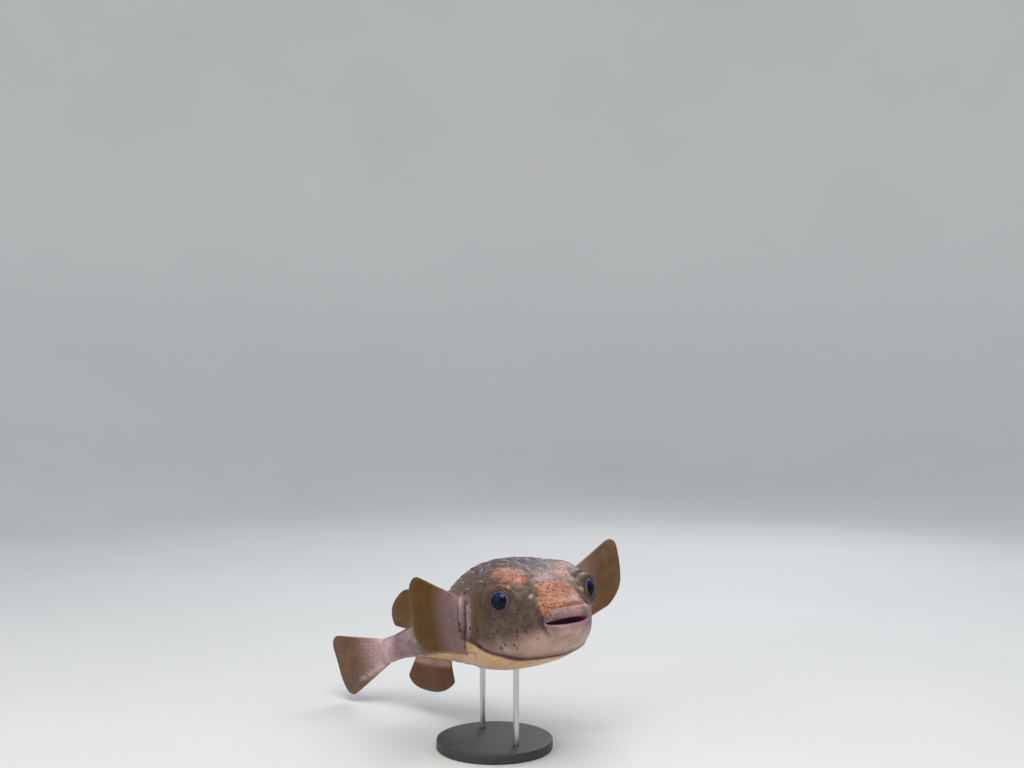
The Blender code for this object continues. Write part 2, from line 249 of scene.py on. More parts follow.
@dataclass
class BodyForm:
    """The outer form of the body: rounded sections along a bent axis, in shares of the standard length."""

    standard_length: float = 0.44
    stations: tuple = (
        (0.018, 0.058, 0.036, 0.042),
        (0.042, 0.065, 0.050, 0.055),
        (0.080, 0.092, 0.080, 0.078),
        (0.125, 0.121, 0.109, 0.098),
        (0.180, 0.143, 0.132, 0.114),
        (0.260, 0.157, 0.152, 0.128),
        (0.360, 0.161, 0.161, 0.136),
        (0.460, 0.136, 0.151, 0.135),
        (0.560, 0.102, 0.126, 0.122),
        (0.660, 0.072, 0.091, 0.104),
        (0.760, 0.050, 0.062, 0.080),
        (0.850, 0.036, 0.044, 0.055),
        (0.930, 0.028, 0.036, 0.042),
        (1.000, 0.019, 0.038, 0.040),
    )
    bend_start: float = 0.40
    tail_turn: float = math.radians(31)
    tail_droop: float = math.radians(14)
    nose_round: float = 0.018
    tail_round: float = 0.020
    roundness: float = 2.15
    brow_squareness: float = 0.90
    brow_place: float = 0.17
    brow_reach: float = 0.12
    ridge_lift: float = 0.013
    ridge_place: float = 0.185
    ridge_reach: float = 0.065
    ridge_angle: float = math.radians(48)
    ridge_spread: float = math.radians(20)
    eye_place: float = 0.150
    eye_out: float = 0.113
    eye_up: float = 0.053
    eye_radius: float = 0.036
    lid_thickness: float = 0.0065
    lid_blend: float = 0.036

    def __post_init__(self) -> None:
        """Works out the section curves and the bent axis."""
        places, widths, heights, depths = np.array(self.stations).T
        self.half_width = curve_through(places, widths)
        self.height_above = curve_through(places, heights)
        self.depth_below = curve_through(places, depths)
        self._walk = np.linspace(0, 1.1, 4401)
        back = self.axes(self._walk)[1]
        steps = (back[1:] + back[:-1]) / 2 * (self._walk[1] - self._walk[0])
        self._axis = np.concatenate([np.zeros((1, 3)), np.cumsum(steps, axis=0)])

    def axes(self, place: Array) -> tuple[Array, Array, Array]:
        """The body's left, backward and upward directions at places along it."""
        share = np.clip((np.asarray(place, float) - self.bend_start) / (1 - self.bend_start), 0, None)
        turn, droop = self.tail_turn * share, self.tail_droop * share
        level, nothing = np.cos(droop), np.zeros_like(turn)
        back = np.stack([-np.sin(turn) * level, np.cos(turn) * level, -np.sin(droop)], -1)
        left = np.stack([np.cos(turn), np.sin(turn), nothing], -1)
        return left, back, np.cross(left, back)

    def point(self, place: Array, side: Array, up: Array) -> Array:
        """Points beside the axis, in metres."""
        left, _, upward = self.axes(place)
        axis = np.stack([np.interp(place, self._walk, self._axis[:, k]) for k in range(3)], -1)
        side, up = np.asarray(side, float)[..., None], np.asarray(up, float)[..., None]
        return (axis + left * side + upward * up) * self.standard_length

    def eye_centre(self, side: Side) -> Array:
        """Centre of an eyeball."""
        return self.point(self.eye_place, side.value * self.eye_out, self.eye_up)

    def power(self, place: Array, upper: Array) -> Array:
        """Exponent of the section's curve: squarer over the eyes, nearly elliptic elsewhere."""
        extra = np.where(upper, self.brow_squareness, self.brow_squareness / 2)
        return self.roundness + extra * bell(place, self.brow_place, self.brow_reach)

    def tall(self, place: Array, upper: Array) -> Array:
        """Height of the section above the axis where upper is true, and its depth below elsewhere."""
        return np.where(upper, self.height_above(place), self.depth_below(place))

    def closing(self, place: Array) -> Array:
        """How far the sections have opened: 0 at both ends of the body."""
        nose = 1 - np.minimum(1, place / self.nose_round)
        tail = 1 - np.minimum(1, (1 - place) / self.tail_round)
        return np.sqrt(1 - nose**2) * np.sqrt(1 - tail**2)

    def outline(self, place: Array, angle: Array) -> tuple[Array, Array]:
        """Side and up of the surface beside the axis, without the brow ridge and the eyes."""
        across, along = np.cos(angle), np.sin(angle)
        power = 2 / self.power(place, along > 0)
        opened = self.closing(place)
        side = opened * self.half_width(place) * np.sign(across) * np.abs(across) ** power
        return side, opened * self.tall(place, along > 0) * np.sign(along) * np.abs(along) ** power

    def surface(self, place: Array, angle: Array) -> Array:
        """Points of the surface; the angle is 0 on the left flank and a quarter turn on the back."""
        side, up = self.outline(place, angle)
        across, along = np.cos(angle), np.sin(angle)
        above = np.arctan2(along, np.abs(across))
        ridge = self.ridge_lift * bell(place, self.ridge_place, self.ridge_reach)
        ridge = ridge * bell(above, self.ridge_angle, self.ridge_spread)
        points = self.point(place, side + ridge * across, up + ridge * along)
        lid = (self.eye_radius + self.lid_thickness) * self.standard_length
        blend = self.lid_blend * self.standard_length
        for eye_side in Side:
            centre = self.eye_centre(eye_side)
            away = points - centre
            distance = np.linalg.norm(away, axis=-1)
            near = np.clip(blend - np.abs(distance - lid), 0, None) / blend
            lifted = np.maximum(distance, lid) + near * near * blend / 4
            points = centre + away * (lifted / distance)[..., None]
        return points

    def place_in_front(self, side: Array, up: Array) -> tuple[Array, Array]:
        """Finds the place and angle of the muzzle's surface straight behind points seen from the front.

        Args:
            side: Side of each point, in shares.
            up: Height of each point, in shares.

        Returns:
            Place and angle of each.
        """
        halvings, muzzle_end = 40, 0.12
        low, high = np.zeros_like(side), np.full_like(side, muzzle_end)
        for _ in range(halvings):
            place = (low + high) / 2
            power = self.power(place, up > 0)
            wide, tall = np.abs(side) / self.half_width(place), np.abs(up) / self.tall(place, up > 0)
            inside = wide**power + tall**power < self.closing(place) ** power
            low, high = np.where(inside, low, place), np.where(inside, place, high)
        place = (low + high) / 2
        power = self.power(place, up > 0)
        across = np.sign(side) * (np.abs(side) / self.half_width(place)) ** (power / 2)
        along = np.sign(up) * (np.abs(up) / self.tall(place, up > 0)) ** (power / 2)
        return place, np.arctan2(along, across)

    def flank(self, place: float, up: float) -> float:
        """Half-width of the body at a height above or below its axis."""
        power = self.power(place, up > 0)
        share = min(1.0, abs(up) / float(self.tall(place, up > 0)))
        return float(self.half_width(place) * (1 - share**power) ** (1 / power))


@dataclass
class EyeSet:
    """Where an eye sits, where it looks and how its lids open."""

    body: BodyForm
    side: Side
    gaze_out: float
    gaze_up: float = math.radians(3)
    opening: float = math.radians(43.5)
    lid_edge: float = math.radians(46.2)
    collar: float = math.radians(60)
    window: tuple[float, float] = (0.088, 0.196)

    def __post_init__(self) -> None:
        """Works out the centre and the eye's own axes."""
        self.centre = self.body.eye_centre(self.side)
        self.radius = self.body.eye_radius * self.body.standard_length
        level, out = math.cos(self.gaze_up), self.side.value * math.sin(self.gaze_out)
        self.gaze = np.array([out * level, -math.cos(self.gaze_out) * level, math.sin(self.gaze_up)])
        self.across = unit(np.cross(self.gaze, (0, 0, 1)))
        self.upward = np.cross(self.across, self.gaze)

    def spread(self, points: Array) -> tuple[Array, Array]:
        """Angle of points from the gaze, and their turn round it, 0 on the across side and rising upwards."""
        away = unit(points - self.centre)
        off_gaze = np.arccos(np.clip(away @ self.gaze, -1, 1))
        return off_gaze, np.arctan2(away @ self.upward, away @ self.across)

    def beside(self, points: Array, reach: float) -> Array:
        """Which points lie within reach of the eye's centre."""
        return np.linalg.norm(points - self.centre, axis=-1) < reach

    def direction(self, off_gaze: Array, turn: Array) -> Array:
        """Unit directions at an angle from the gaze and a turn round it."""
        ring = np.cos(turn)[..., None] * self.across + np.sin(turn)[..., None] * self.upward
        return np.cos(off_gaze)[..., None] * self.gaze + np.sin(off_gaze)[..., None] * ring


@dataclass
class Mouth:
    """The slit between the lips and the hollow behind it, in metres."""

    across: float = -0.0042
    up: float = -0.00528
    half_width: float = 0.0220
    half_height: float = 0.0031
    depth: float = 0.024
    lip_roll: float = 0.0030
    lip_swell: float = 0.0016

    def slit(self, turn: Array) -> tuple[Array, Array]:
        """Side and height of the slit's rim, for turns round its middle."""
        side = self.across + self.half_width * np.cos(turn)
        height = np.sign(np.sin(turn)) * np.abs(np.sin(turn)) ** 0.8
        return side, self.up + self.half_height * height


@dataclass
class Markings:
    """Where each colour of the skin lies, and where shade and highlights are painted into it. The same values go to
    the skin and to its spines.
    """

    body: BodyForm
    eyes: dict[Side, EyeSet]
    gill_line: tuple = (
        (-0.075, 0.362),
        (-0.050, 0.322),
        (-0.009, 0.293),
        (0.029, 0.287),
        (0.067, 0.291),
        (0.09, 0.303),
    )
    band_line: tuple = (
        (-90, 0.128),
        (-75, 0.131),
        (-62, 0.148),
        (-42, 0.176),
        (-30, 0.215),
        (-19, 0.253),
        (-10, 0.300),
    )
    band_scallop: float = 0.0045
    orange_edge: tuple = ((0.0, 0.070), (0.017, 0.066), (0.046, 0.062), (0.069, 0.053), (0.10, 0.046))
    nostril_place: float = 0.0735
    nostril_angle: float = math.radians(41)
    straight_radius: float = 0.065
    eye_reach: float = 0.026

    def band_place(self, above: Array) -> Array:
        """Place of the scalloped throat fold at an elevation angle, in degrees."""
        turns, places = np.array(self.band_line).T
        return np.interp(above, turns, places) + self.band_scallop * np.abs(np.sin(np.radians(above * 4.3 + 20)))

    def gill_place(self, up: Array) -> Array:
        """Place of the gill slit at a height."""
        heights, places = np.array(self.gill_line).T
        return np.interp(up, heights, places)

    def nostril(self, side: Side) -> Array:
        """Root of a nostril on the snout."""
        angle = self.nostril_angle if side is Side.LEFT else math.pi - self.nostril_angle
        return self.body.surface(np.array([self.nostril_place]), np.array([angle]))[0]

    def straightened(self, place: Array, angle: Array) -> Array:
        """Places and angles as points of a straight round bar, for patterns that run along the body."""
        radius = self.straight_radius
        return np.stack([place * self.body.standard_length, radius * np.cos(angle), radius * np.sin(angle)], -1)

    def masks(self, place: Array, angle: Array, points: Array) -> dict[str, Array]:
        """The share of each marking and of the painted shade and highlights, 0 to 1.

        Args:
            place: Places along the body.
            angle: Angles round it.
            points: Points of the surface there, in the fish's own frame.

        Returns:
            An array for each kind of marking, and the straightened places.
        """
        side, up = self.body.outline(place, angle)
        above, wide, left = elevation(angle), np.abs(side), side > 0
        heights, widths = np.array(self.orange_edge).T
        edge = np.interp(up, heights, widths) - 0.010 * ease(side, 0.0, 0.03)
        snout = ease(wide - edge, 0.012, -0.010) * ease(place, 0.118, 0.078)
        lip = 0.30 + 0.70 * ease(up, 0.0225, 0.0290)
        snout = snout * np.maximum(lip * ease(up, -0.010, -0.004), ease(wide, 0.046, 0.054) * ease(up, 0.000, 0.010))
        brow = bell(place, 0.166, 0.042) * bell(wide, 0.082, 0.040) * ease(above, 28, 46) * np.where(left, 0.6, 1.0)
        link = bell(place, 0.125, 0.030) * bell(wide, np.where(left, 0.052, 0.068), 0.025) * ease(above, 40, 54)
        # Pale lavender on the forehead between the orange patches, lightened in part as a painted highlight.
        lavender_and_highlight = bell(place, 0.108, 0.022) * ease(above, 40, 60)
        lavender_and_highlight = lavender_and_highlight * ease(np.where(left, side + 0.026, -side), 0.066, 0.026)
        orange = np.clip(np.maximum(np.maximum(snout, brow), 0.80 * link) - 0.75 * lavender_and_highlight, 0, 1)
        past_band = place - self.band_place(above)
        jaw = ease(above, -8, -44) * ease(past_band, 0.004, -0.045)
        jaw = jaw * ease(place, 0.030, 0.055) + ease(up, -0.022, -0.034) * ease(place, 0.060, 0.035)
        cream = ease(past_band, -0.004, 0.004) * ease(above, -8, -22)
        cream = cream * ease(above + 150 * np.clip(place - 0.45, 0, 1), 6, -14)
        dusk = ease(above, 34, 60) * ease(place, 0.118, 0.160) * ease(place, 1.0, 0.7)
        upper_lip = ease(up, 0.0275, 0.0225) * ease(up, -0.012, -0.006)
        upper_lip = upper_lip * ease(place, 0.050, 0.032) * ease(wide, 0.066, 0.054)
        # Painted highlight on the upper lip's roll, just under its fold.
        upper_lip = upper_lip * (0.70 + 0.30 * bell(up, 0.0215, 0.0030))
        # The lower lip's pale lilac, partly a painted highlight under the slit.
        lower_lip = ease(up, -0.034, -0.024) * ease(up, -0.006, -0.014) * ease(place, 0.050, 0.030)
        stalk = ease(place, 0.70, 0.90) * ease(above, 85, 30)
        past_gill = place - self.gill_place(up)
        # Pale pink at the tail's root and on top of the pectoral base, lightened there as a painted highlight.
        blush = ease(place, 0.90, 0.975) + 1.1 * bell(past_gill, 0.024, 0.014) * bell(up, 0.062, 0.014)
        base = bell(past_gill, 0.024, 0.016) * ease(up, -0.10, -0.07) * ease(up, 0.085, 0.06)
        flap = bell(past_gill, -0.018, 0.013) * ease(up, 0.085, 0.05) * ease(up, -0.06, -0.03)
        lilac = np.maximum(upper_lip, lower_lip) + 0.75 * stalk + 0.8 * base + 0.60 * flap + 0.85 * lavender_and_highlight
        # Painted shade in the throat fold over the throat band's own dusky colour, and painted shade in the gill
        # slit, the muzzle fold and the fold above the upper lip.
        band = ease(np.abs(past_band - 0.003), 0.0260, 0.0130) * ease(above, -8, -16)
        gill = bell(past_gill, 0, 0.0050) * ease(up, 0.085, 0.062) * ease(up, -0.075, -0.055)
        muzzle = bell(place, 0.0480, 0.0060) * ease(above, 26, 0) * ease(above, -62, -34)
        lip_fold_shade = bell(up, 0.0262, 0.0022) * ease(place, 0.040, 0.02)
        lip_fold_shade = lip_fold_shade * ease(side, 0.024, 0.008) * ease(side, -0.060, -0.048)
        band_and_crease_shade = band + gill + 0.80 * muzzle + 0.50 * lip_fold_shade
        # Painted shade on the front of the cheeks; the eye loop below adds painted shade round each eye.
        shade = bell(place, 0.090, 0.050) * bell(up, 0.030, 0.060) * ease(wide, 0.050, 0.075)
        for eye in self.eyes.values():
            off, turn = eye.spread(points)
            off, near = np.degrees(off), eye.beside(points, self.eye_reach)
            top = ease(np.sin(turn), 0.35, 0.9) * near
            orange = np.clip(orange + 0.8 * bell(off, 61, 4.0) * top, 0, 1)
            # Painted shade in the fold above the eye, round the lid rim and round the whole eye.
            band_and_crease_shade = band_and_crease_shade + (0.50 * bell(off, 67, 3.0) * top + 0.60 * bell(off, 46, 4.0) * near)
            shade = np.maximum(shade, bell(off, 50, 16) * near)
            # Painted shadow under each nostril, and pale nostril tips that are partly a painted highlight.
            from_nostril = points - self.nostril(eye.side)
            nostril_shadow_distance = np.linalg.norm(from_nostril - (0, 0, -0.0040), axis=-1)
            blush = np.maximum(blush, 0.55 * ease(np.linalg.norm(from_nostril, axis=-1), 0.0046, 0.0022))
            band_and_crease_shade = band_and_crease_shade + 0.6 * ease(nostril_shadow_distance, 0.0026, 0.0010)
        shares = {"cream": cream, "jaw": jaw, "lilac": lilac, "blush": blush, "fold": band_and_crease_shade, "shade": shade}
        shares["freckled"] = orange * 1.2 + lavender_and_highlight + 0.8 * dusk * ease(place, 0.6, 0.3)
        return {
            **{name: np.clip(share, 0, 1) for name, share in shares.items()},
            "orange": orange,
            "dusk": dusk,
            "blotched": ease(above, -50, -36) * ease(place, 0.055, 0.085) * ease(place, 0.82, 0.70) * (1 - orange),
            # Where the painted streaks go: pale ones as painted highlights along the folded spines, dark ones as
            # painted shade between them.
            "streaked": ease(above, 38, 62) * ease(place, 0.118, 0.165) * (1 - 0.7 * orange),
            "straight": self.straightened(place, angle),
        }


@dataclass
class Sheet:
    """A node tree being filled: adds nodes and links in single calls."""

    tree: bpy.types.NodeTree

    def node(self, kind: str, **settings: object) -> bpy.types.Node:
        """Adds a node.

        Args:
            kind: Its type, without "ShaderNode".
            **settings: Its properties.

        Returns:
            The node.
        """
        made = self.tree.nodes.new("ShaderNode" + kind)
        for name, value in settings.items():
            setattr(made, name, value)
        return made

    def feed(self, target: Socket, source: object) -> None:
        """Links a socket to another, or sets its value."""
        if isinstance(source, Socket):
            self.tree.links.new(source, target)
        elif isinstance(source, tuple) and len(source) == 3 and target.type == "RGBA":
            target.default_value = (*source, 1)
        else:
            target.default_value = source

    def mask(self, name: str, output: str = "Fac") -> Socket:
        """A value, or with output "Vector" a vector, stored on the mesh."""
        return self.node("Attribute", attribute_name=name).outputs[output]

    def sums(
        self, operation: str, first: object, second: object = 0.0, third: object = 0.0, clamp: bool = False
    ) -> Socket:
        """The result of a Math node."""
        made = self.node("Math", operation=operation, use_clamp=clamp)
        for socket, value in zip(made.inputs, (first, second, third)):
            self.feed(socket, value)
        return made.outputs[0]

    def mix(self, share: object, first: object, second: object, blend: str = "MIX") -> Socket:
        """Mixes two colours."""
        made = self.node("Mix", data_type="RGBA", blend_type=blend)
        self.feed(made.inputs["Factor"], share)
        self.feed(made.inputs[6], first)
        self.feed(made.inputs[7], second)
        return made.outputs[2]

    def times(self, first: object, second: object) -> Socket:
        """Two values multiplied."""
        return self.sums("MULTIPLY", first, second)

    def averaged(self, first: object, second: object) -> Socket:
        """The average of two values."""
        return self.sums("MULTIPLY_ADD", first, 0.5, self.times(second, 0.5))

    def nudged(self, value: object, noise: object, strength: float) -> Socket:
        """A value moved up and down by a noise."""
        return self.sums("MULTIPLY_ADD", self.sums("SUBTRACT", noise, 0.5), strength, value)

    def rise(self, value: object, low: float, high: float, start: float = 0.0, end: float = 1.0) -> Socket:
        """Maps a value smoothly from one range to another."""
        made = self.node("MapRange", interpolation_type="SMOOTHSTEP")
        for socket, given in zip(made.inputs, (value, low, high, start, end)):
            self.feed(socket, given)
        return made.outputs["Result"]

    def noise(
        self, place: object, scale: object, detail: float = 3.0, rough: float = 0.55, warp: float = 0.0
    ) -> Socket:
        """A noise value."""
        made = self.node("TexNoise")
        self.feed(made.inputs["Vector"], place)
        for name, given in (("Scale", scale), ("Detail", detail), ("Roughness", rough), ("Distortion", warp)):
            self.feed(made.inputs[name], given)
        return made.outputs["Fac"]

    def stretched(self, place: object, scales: tuple[float, float, float]) -> Socket:
        """Coordinates scaled along each axis."""
        made = self.node("Mapping")
        self.feed(made.inputs["Vector"], place)
        made.inputs["Scale"].default_value = scales
        return made.outputs[0]

    def emboss(self, shader: bpy.types.Node, height: object, strength: float, distance: float) -> None:
        """Gives a surface shader a bump from a height."""
        bump = self.node("Bump")
        bump.inputs["Strength"].default_value = strength
        bump.inputs["Distance"].default_value = distance
        self.feed(bump.inputs["Height"], height)
        self.feed(shader.inputs["Normal"], bump.outputs["Normal"])

    def group(self, tree: bpy.types.NodeTree, **values: object) -> bpy.types.Node:
        """Places a node group with its own values."""
        made = self.node("Group")
        made.node_tree = tree
        for name, value in values.items():
            self.feed(made.inputs[name.replace("_", " ").capitalize()], value)
        return made


def new_material(name: str, **constants: float) -> tuple[bpy.types.Material, Sheet, bpy.types.Node, Socket]:
    """Starts a material.

    Args:
        name: Its name.
        **constants: Settings of its surface shader that are the same all over, such as Coat_Weight.

    Returns:
        The material, its sheet, its surface shader and the object's own coordinates.
    """
    material = bpy.data.materials.new(name)
    material.use_nodes = True
    sheet = Sheet(material.node_tree)
    shader = material.node_tree.nodes["Principled BSDF"]
    for label, value in constants.items():
        shader.inputs[label.replace("_", " ")].default_value = value
    return material, sheet, shader, sheet.node("TexCoord").outputs["Object"]


def new_group(
    name: str, inputs: dict[str, object], outputs: dict[str, str]
) -> tuple[Sheet, bpy.types.Node, bpy.types.Node]:
    """Starts a node group.

    Args:
        name: Its name.
        inputs: Name and default of each input; a tuple makes a vector, a number makes a value.
        outputs: Name and socket type of each output.

    Returns:
        The group's sheet, its input node and its output node.
    """
    tree = bpy.data.node_groups.new(name, "ShaderNodeTree")
    for label, default in inputs.items():
        kind = "NodeSocketVector" if isinstance(default, tuple) else "NodeSocketFloat"
        socket = tree.interface.new_socket(name=label, in_out="INPUT", socket_type=kind)
        socket.default_value = default
    for label, kind in outputs.items():
        tree.interface.new_socket(name=label, in_out="OUTPUT", socket_type=kind)
    sheet = Sheet(tree)
    return sheet, tree.nodes.new("NodeGroupInput"), tree.nodes.new("NodeGroupOutput")


def spots_group() -> bpy.types.NodeTree:
    """Round spots with ragged edges, some left out. Spacing is in spots per metre, size in shares of the spacing."""
    sheet, given, out = new_group(
        "spots",
        {"Place": (0.0, 0.0, 0.0), "Spacing": 200.0, "Size": 0.28, "Softness": 0.08, "Share": 0.8},
        {"Mask": "NodeSocketFloat"},
    )
    wobble = sheet.node("TexNoise")
    sheet.feed(wobble.inputs["Vector"], given.outputs["Place"])
    sheet.feed(wobble.inputs["Scale"], sheet.times(given.outputs["Spacing"], 1.7))
    shift = sheet.node("VectorMath", operation="SCALE")
    sheet.feed(shift.inputs[0], wobble.outputs["Color"])
    sheet.feed(shift.inputs["Scale"], sheet.sums("DIVIDE", 0.22, given.outputs["Spacing"]))
    moved = sheet.node("VectorMath", operation="ADD")
    sheet.feed(moved.inputs[0], given.outputs["Place"])
    sheet.feed(moved.inputs[1], shift.outputs[0])
    cells = sheet.node("TexVoronoi")
    sheet.feed(cells.inputs["Vector"], moved.outputs[0])
    sheet.feed(cells.inputs["Scale"], given.outputs["Spacing"])
    cells.inputs["Randomness"].default_value = 0.72
    split = sheet.node("SeparateColor")
    sheet.feed(split.inputs[0], cells.outputs["Color"])
    kept = sheet.sums("LESS_THAN", split.outputs[0], given.outputs["Share"])
    sized = sheet.times(given.outputs["Size"], sheet.rise(split.outputs[1], 0.0, 1.0, 0.75, 1.2))
    edge = sheet.sums("SUBTRACT", sized, cells.outputs["Distance"])
    inside = sheet.sums("DIVIDE", edge, given.outputs["Softness"], clamp=True)
    sheet.feed(out.inputs["Mask"], sheet.times(inside, kept))
    return sheet.tree


def grain_group() -> bpy.types.NodeTree:
    """Fine pores and wrinkles of wet skin: a height, and a tone that lightens and darkens the colour."""
    sheet, given, out = new_group(
        "wet_skin_grain",
        {"Place": (0.0, 0.0, 0.0), "Pores": 900.0, "Wrinkles": 160.0},
        {"Height": "NodeSocketFloat", "Tone": "NodeSocketFloat"},
    )
    pores = sheet.node("TexVoronoi", feature="F1")
    sheet.feed(pores.inputs["Vector"], given.outputs["Place"])
    sheet.feed(pores.inputs["Scale"], given.outputs["Pores"])
    wrinkles = sheet.noise(given.outputs["Place"], given.outputs["Wrinkles"], 6.0, 0.6, 0.6)
    height = sheet.sums("MULTIPLY_ADD", pores.outputs["Distance"], 0.35, wrinkles)
    sheet.feed(out.inputs["Height"], height)
    sheet.feed(out.inputs["Tone"], sheet.rise(wrinkles, 0.3, 0.7))
    return sheet.tree


@dataclass(frozen=True)
class Palette:
    """The fish's colours and its painted shade and highlights, each as a darker and a lighter tone that blend in
    patches.
    """

    olive: tuple[Colour, Colour] = ((0.066, 0.042, 0.027), (0.118, 0.083, 0.058))
    # Olive in painted shade, for the front cheeks and round the eyes.
    painted_shade_olive: tuple[Colour, Colour] = ((0.036, 0.022, 0.014), (0.082, 0.054, 0.036))
    dusk: tuple[Colour, Colour] = ((0.034, 0.017, 0.021), (0.092, 0.050, 0.052))
    # Dark painted shade and pale painted highlight for the streaks along the folded spines.
    streak_light_and_shade: tuple[Colour, Colour] = ((0.020, 0.010, 0.016), (0.36, 0.225, 0.22))
    lilac: tuple[Colour, Colour] = ((0.225, 0.135, 0.145), (0.40, 0.265, 0.285))
    # Pale pink, lightened as painted highlights at the tail's root, the pectoral base and the nostril tips.
    blush: tuple[Colour, Colour] = ((0.40, 0.265, 0.270), (0.54, 0.385, 0.390))
    orange: tuple[Colour, Colour] = ((0.24, 0.090, 0.045), (0.43, 0.185, 0.112))
    jaw: tuple[Colour, Colour] = ((0.34, 0.205, 0.165), (0.46, 0.300, 0.245))
    cream: tuple[Colour, Colour] = ((0.55, 0.310, 0.155), (0.70, 0.440, 0.250))
    spot: Colour = (0.048, 0.018, 0.016)
    # Painted shade in folds and creases, also the throat band's own dusky colour.
    band_and_crease_shade: Colour = (0.050, 0.018, 0.032)


def markings_group(palette: Palette) -> bpy.types.NodeTree:
    """The porcupinefish's colours, painted shade and painted highlights from the mesh's masks: the same for the skin
    and its spines.
    """
    sheet, given, out = new_group(
        "porcupinefish_markings",
        {"Place": (0.0, 0.0, 0.0)},
        {"Color": "NodeSocketColor"},
    )
    where = given.outputs["Place"]
    patchy, mottle = sheet.noise(where, 42.0, 5.0, 0.6, 0.4), sheet.noise(where, 150.0, 4.0, 0.6)
    patches, mottled = sheet.rise(patchy, 0.35, 0.65), sheet.rise(mottle, 0.35, 0.65)
    both = sheet.averaged(mottled, patches)
    edge = sheet.nudged(sheet.nudged(sheet.mask("orange"), mottle, 1.2), patchy, 1.2)
    orange = sheet.times(sheet.rise(edge, 0.12, 0.92), sheet.rise(sheet.mask("orange"), 0.0, 0.2))
    colour = sheet.mix(both, *palette.olive)
    for share, blend, tones in (
        # Painted shade on the front cheeks and round the eyes.
        (sheet.mask("shade"), mottled, palette.painted_shade_olive),
        (sheet.mask("dusk"), mottled, palette.dusk),
        (sheet.mask("lilac"), patches, palette.lilac),
        # Pale pink with painted highlights at the tail's root, the pectoral base and the nostril tips.
        (sheet.mask("blush"), patches, palette.blush),
        (orange, both, palette.orange),
        (sheet.mask("jaw"), patches, palette.jaw),
        (sheet.mask("cream"), mottled, palette.cream),
    ):
        colour = sheet.mix(share, colour, sheet.mix(blend, *tones))
    # Painted streaks on the head top and back: pale ones as painted highlights along the folded spines, dark ones as
    # painted shade between them.
    light_streaks = sheet.noise(sheet.stretched(sheet.mask("straight", "Vector"), (75, 430, 430)), 1.0, 2.5, 0.5, 0.4)
    for rise, tone in (((0.52, 0.40), palette.streak_light_and_shade[0]), ((0.53, 0.66, 0.0, 0.82), palette.streak_light_and_shade[1])):
        colour = sheet.mix(sheet.times(sheet.rise(light_streaks, *rise), sheet.mask("streaked")), colour, tone)
    spots = spots_group()
    small = sheet.group(spots, place=where, spacing=300.0, size=0.45, softness=0.14, share=0.97).outputs[0]
    large = sheet.group(spots, place=where, spacing=124.0, size=0.28, softness=0.08, share=0.92).outputs[0]
    small, large = sheet.times(small, sheet.mask("freckled")), sheet.times(large, sheet.mask("blotched"))
    dark = sheet.sums("MAXIMUM", small, large)
    colour = sheet.mix(sheet.times(dark, 0.80), colour, palette.spot)
    # Painted shade in the folds and creases, over the throat band's own dusky colour.
    colour = sheet.mix(sheet.times(sheet.mask("fold"), 0.94), colour, palette.band_and_crease_shade)
    sheet.feed(out.inputs["Color"], colour)
    return sheet.tree


@dataclass(frozen=True)
class SkinFinish:
    """Wet, finely wrinkled skin with the fish's markings and its painted shade and highlights."""

    name: str = "porcupinefish_skin"
    roughness: tuple[float, float] = (0.36, 0.50)
    bump: float = 0.00035
    highlight: Colour = (1.0, 0.93, 0.86)
    mouth: Colour = (0.27, 0.095, 0.165)

    def build(self, markings: bpy.types.NodeTree, grain: bpy.types.NodeTree) -> bpy.types.Material:
        """Makes the material."""
        material, sheet, shader, where = new_material(
            self.name, Coat_Weight=0.05, Coat_Roughness=0.22, Specular_IOR_Level=0.22
        )
        colour = sheet.group(markings, place=where).outputs["Color"]
        fine = sheet.group(grain, place=where)
        tone = fine.outputs["Tone"]
        colour = sheet.mix(sheet.rise(tone, 0, 1, 0.0, 0.16), colour, self.highlight, "SOFT_LIGHT")
        sheet.feed(shader.inputs["Base Color"], sheet.mix(sheet.mask("inside"), colour, self.mouth))
        sheet.feed(shader.inputs["Roughness"], sheet.rise(tone, 0, 1, *self.roughness))
        sheet.emboss(shader, fine.outputs["Height"], 0.6, self.bump)
        return material


@dataclass(frozen=True)
class SpineFinish:
    """Bone-pale spines that take the skin's colour where they leave it."""

    name: str = "spine_bone"
    bone: tuple[Colour, Colour] = ((0.42, 0.30, 0.26), (0.66, 0.53, 0.46))

    def build(self, markings: bpy.types.NodeTree) -> bpy.types.Material:
        """Makes the material."""
        material, sheet, shader, where = new_material(self.name)
        grain = sheet.noise(where, 600.0, 3.0)
        bare = sheet.rise(sheet.mask("along"), 0.08, 0.40, 0.0, 0.85)
        skin = sheet.group(markings, place=where).outputs["Color"]
        sheet.feed(shader.inputs["Base Color"], sheet.mix(bare, skin, sheet.mix(grain, *self.bone)))
        sheet.feed(shader.inputs["Roughness"], sheet.rise(grain, 0.3, 0.7, 0.30, 0.42))
        return material


def toned(colour: Colour, factor: float) -> Colour:
    """A colour made darker or lighter."""
    return tuple(part * factor for part in colour)


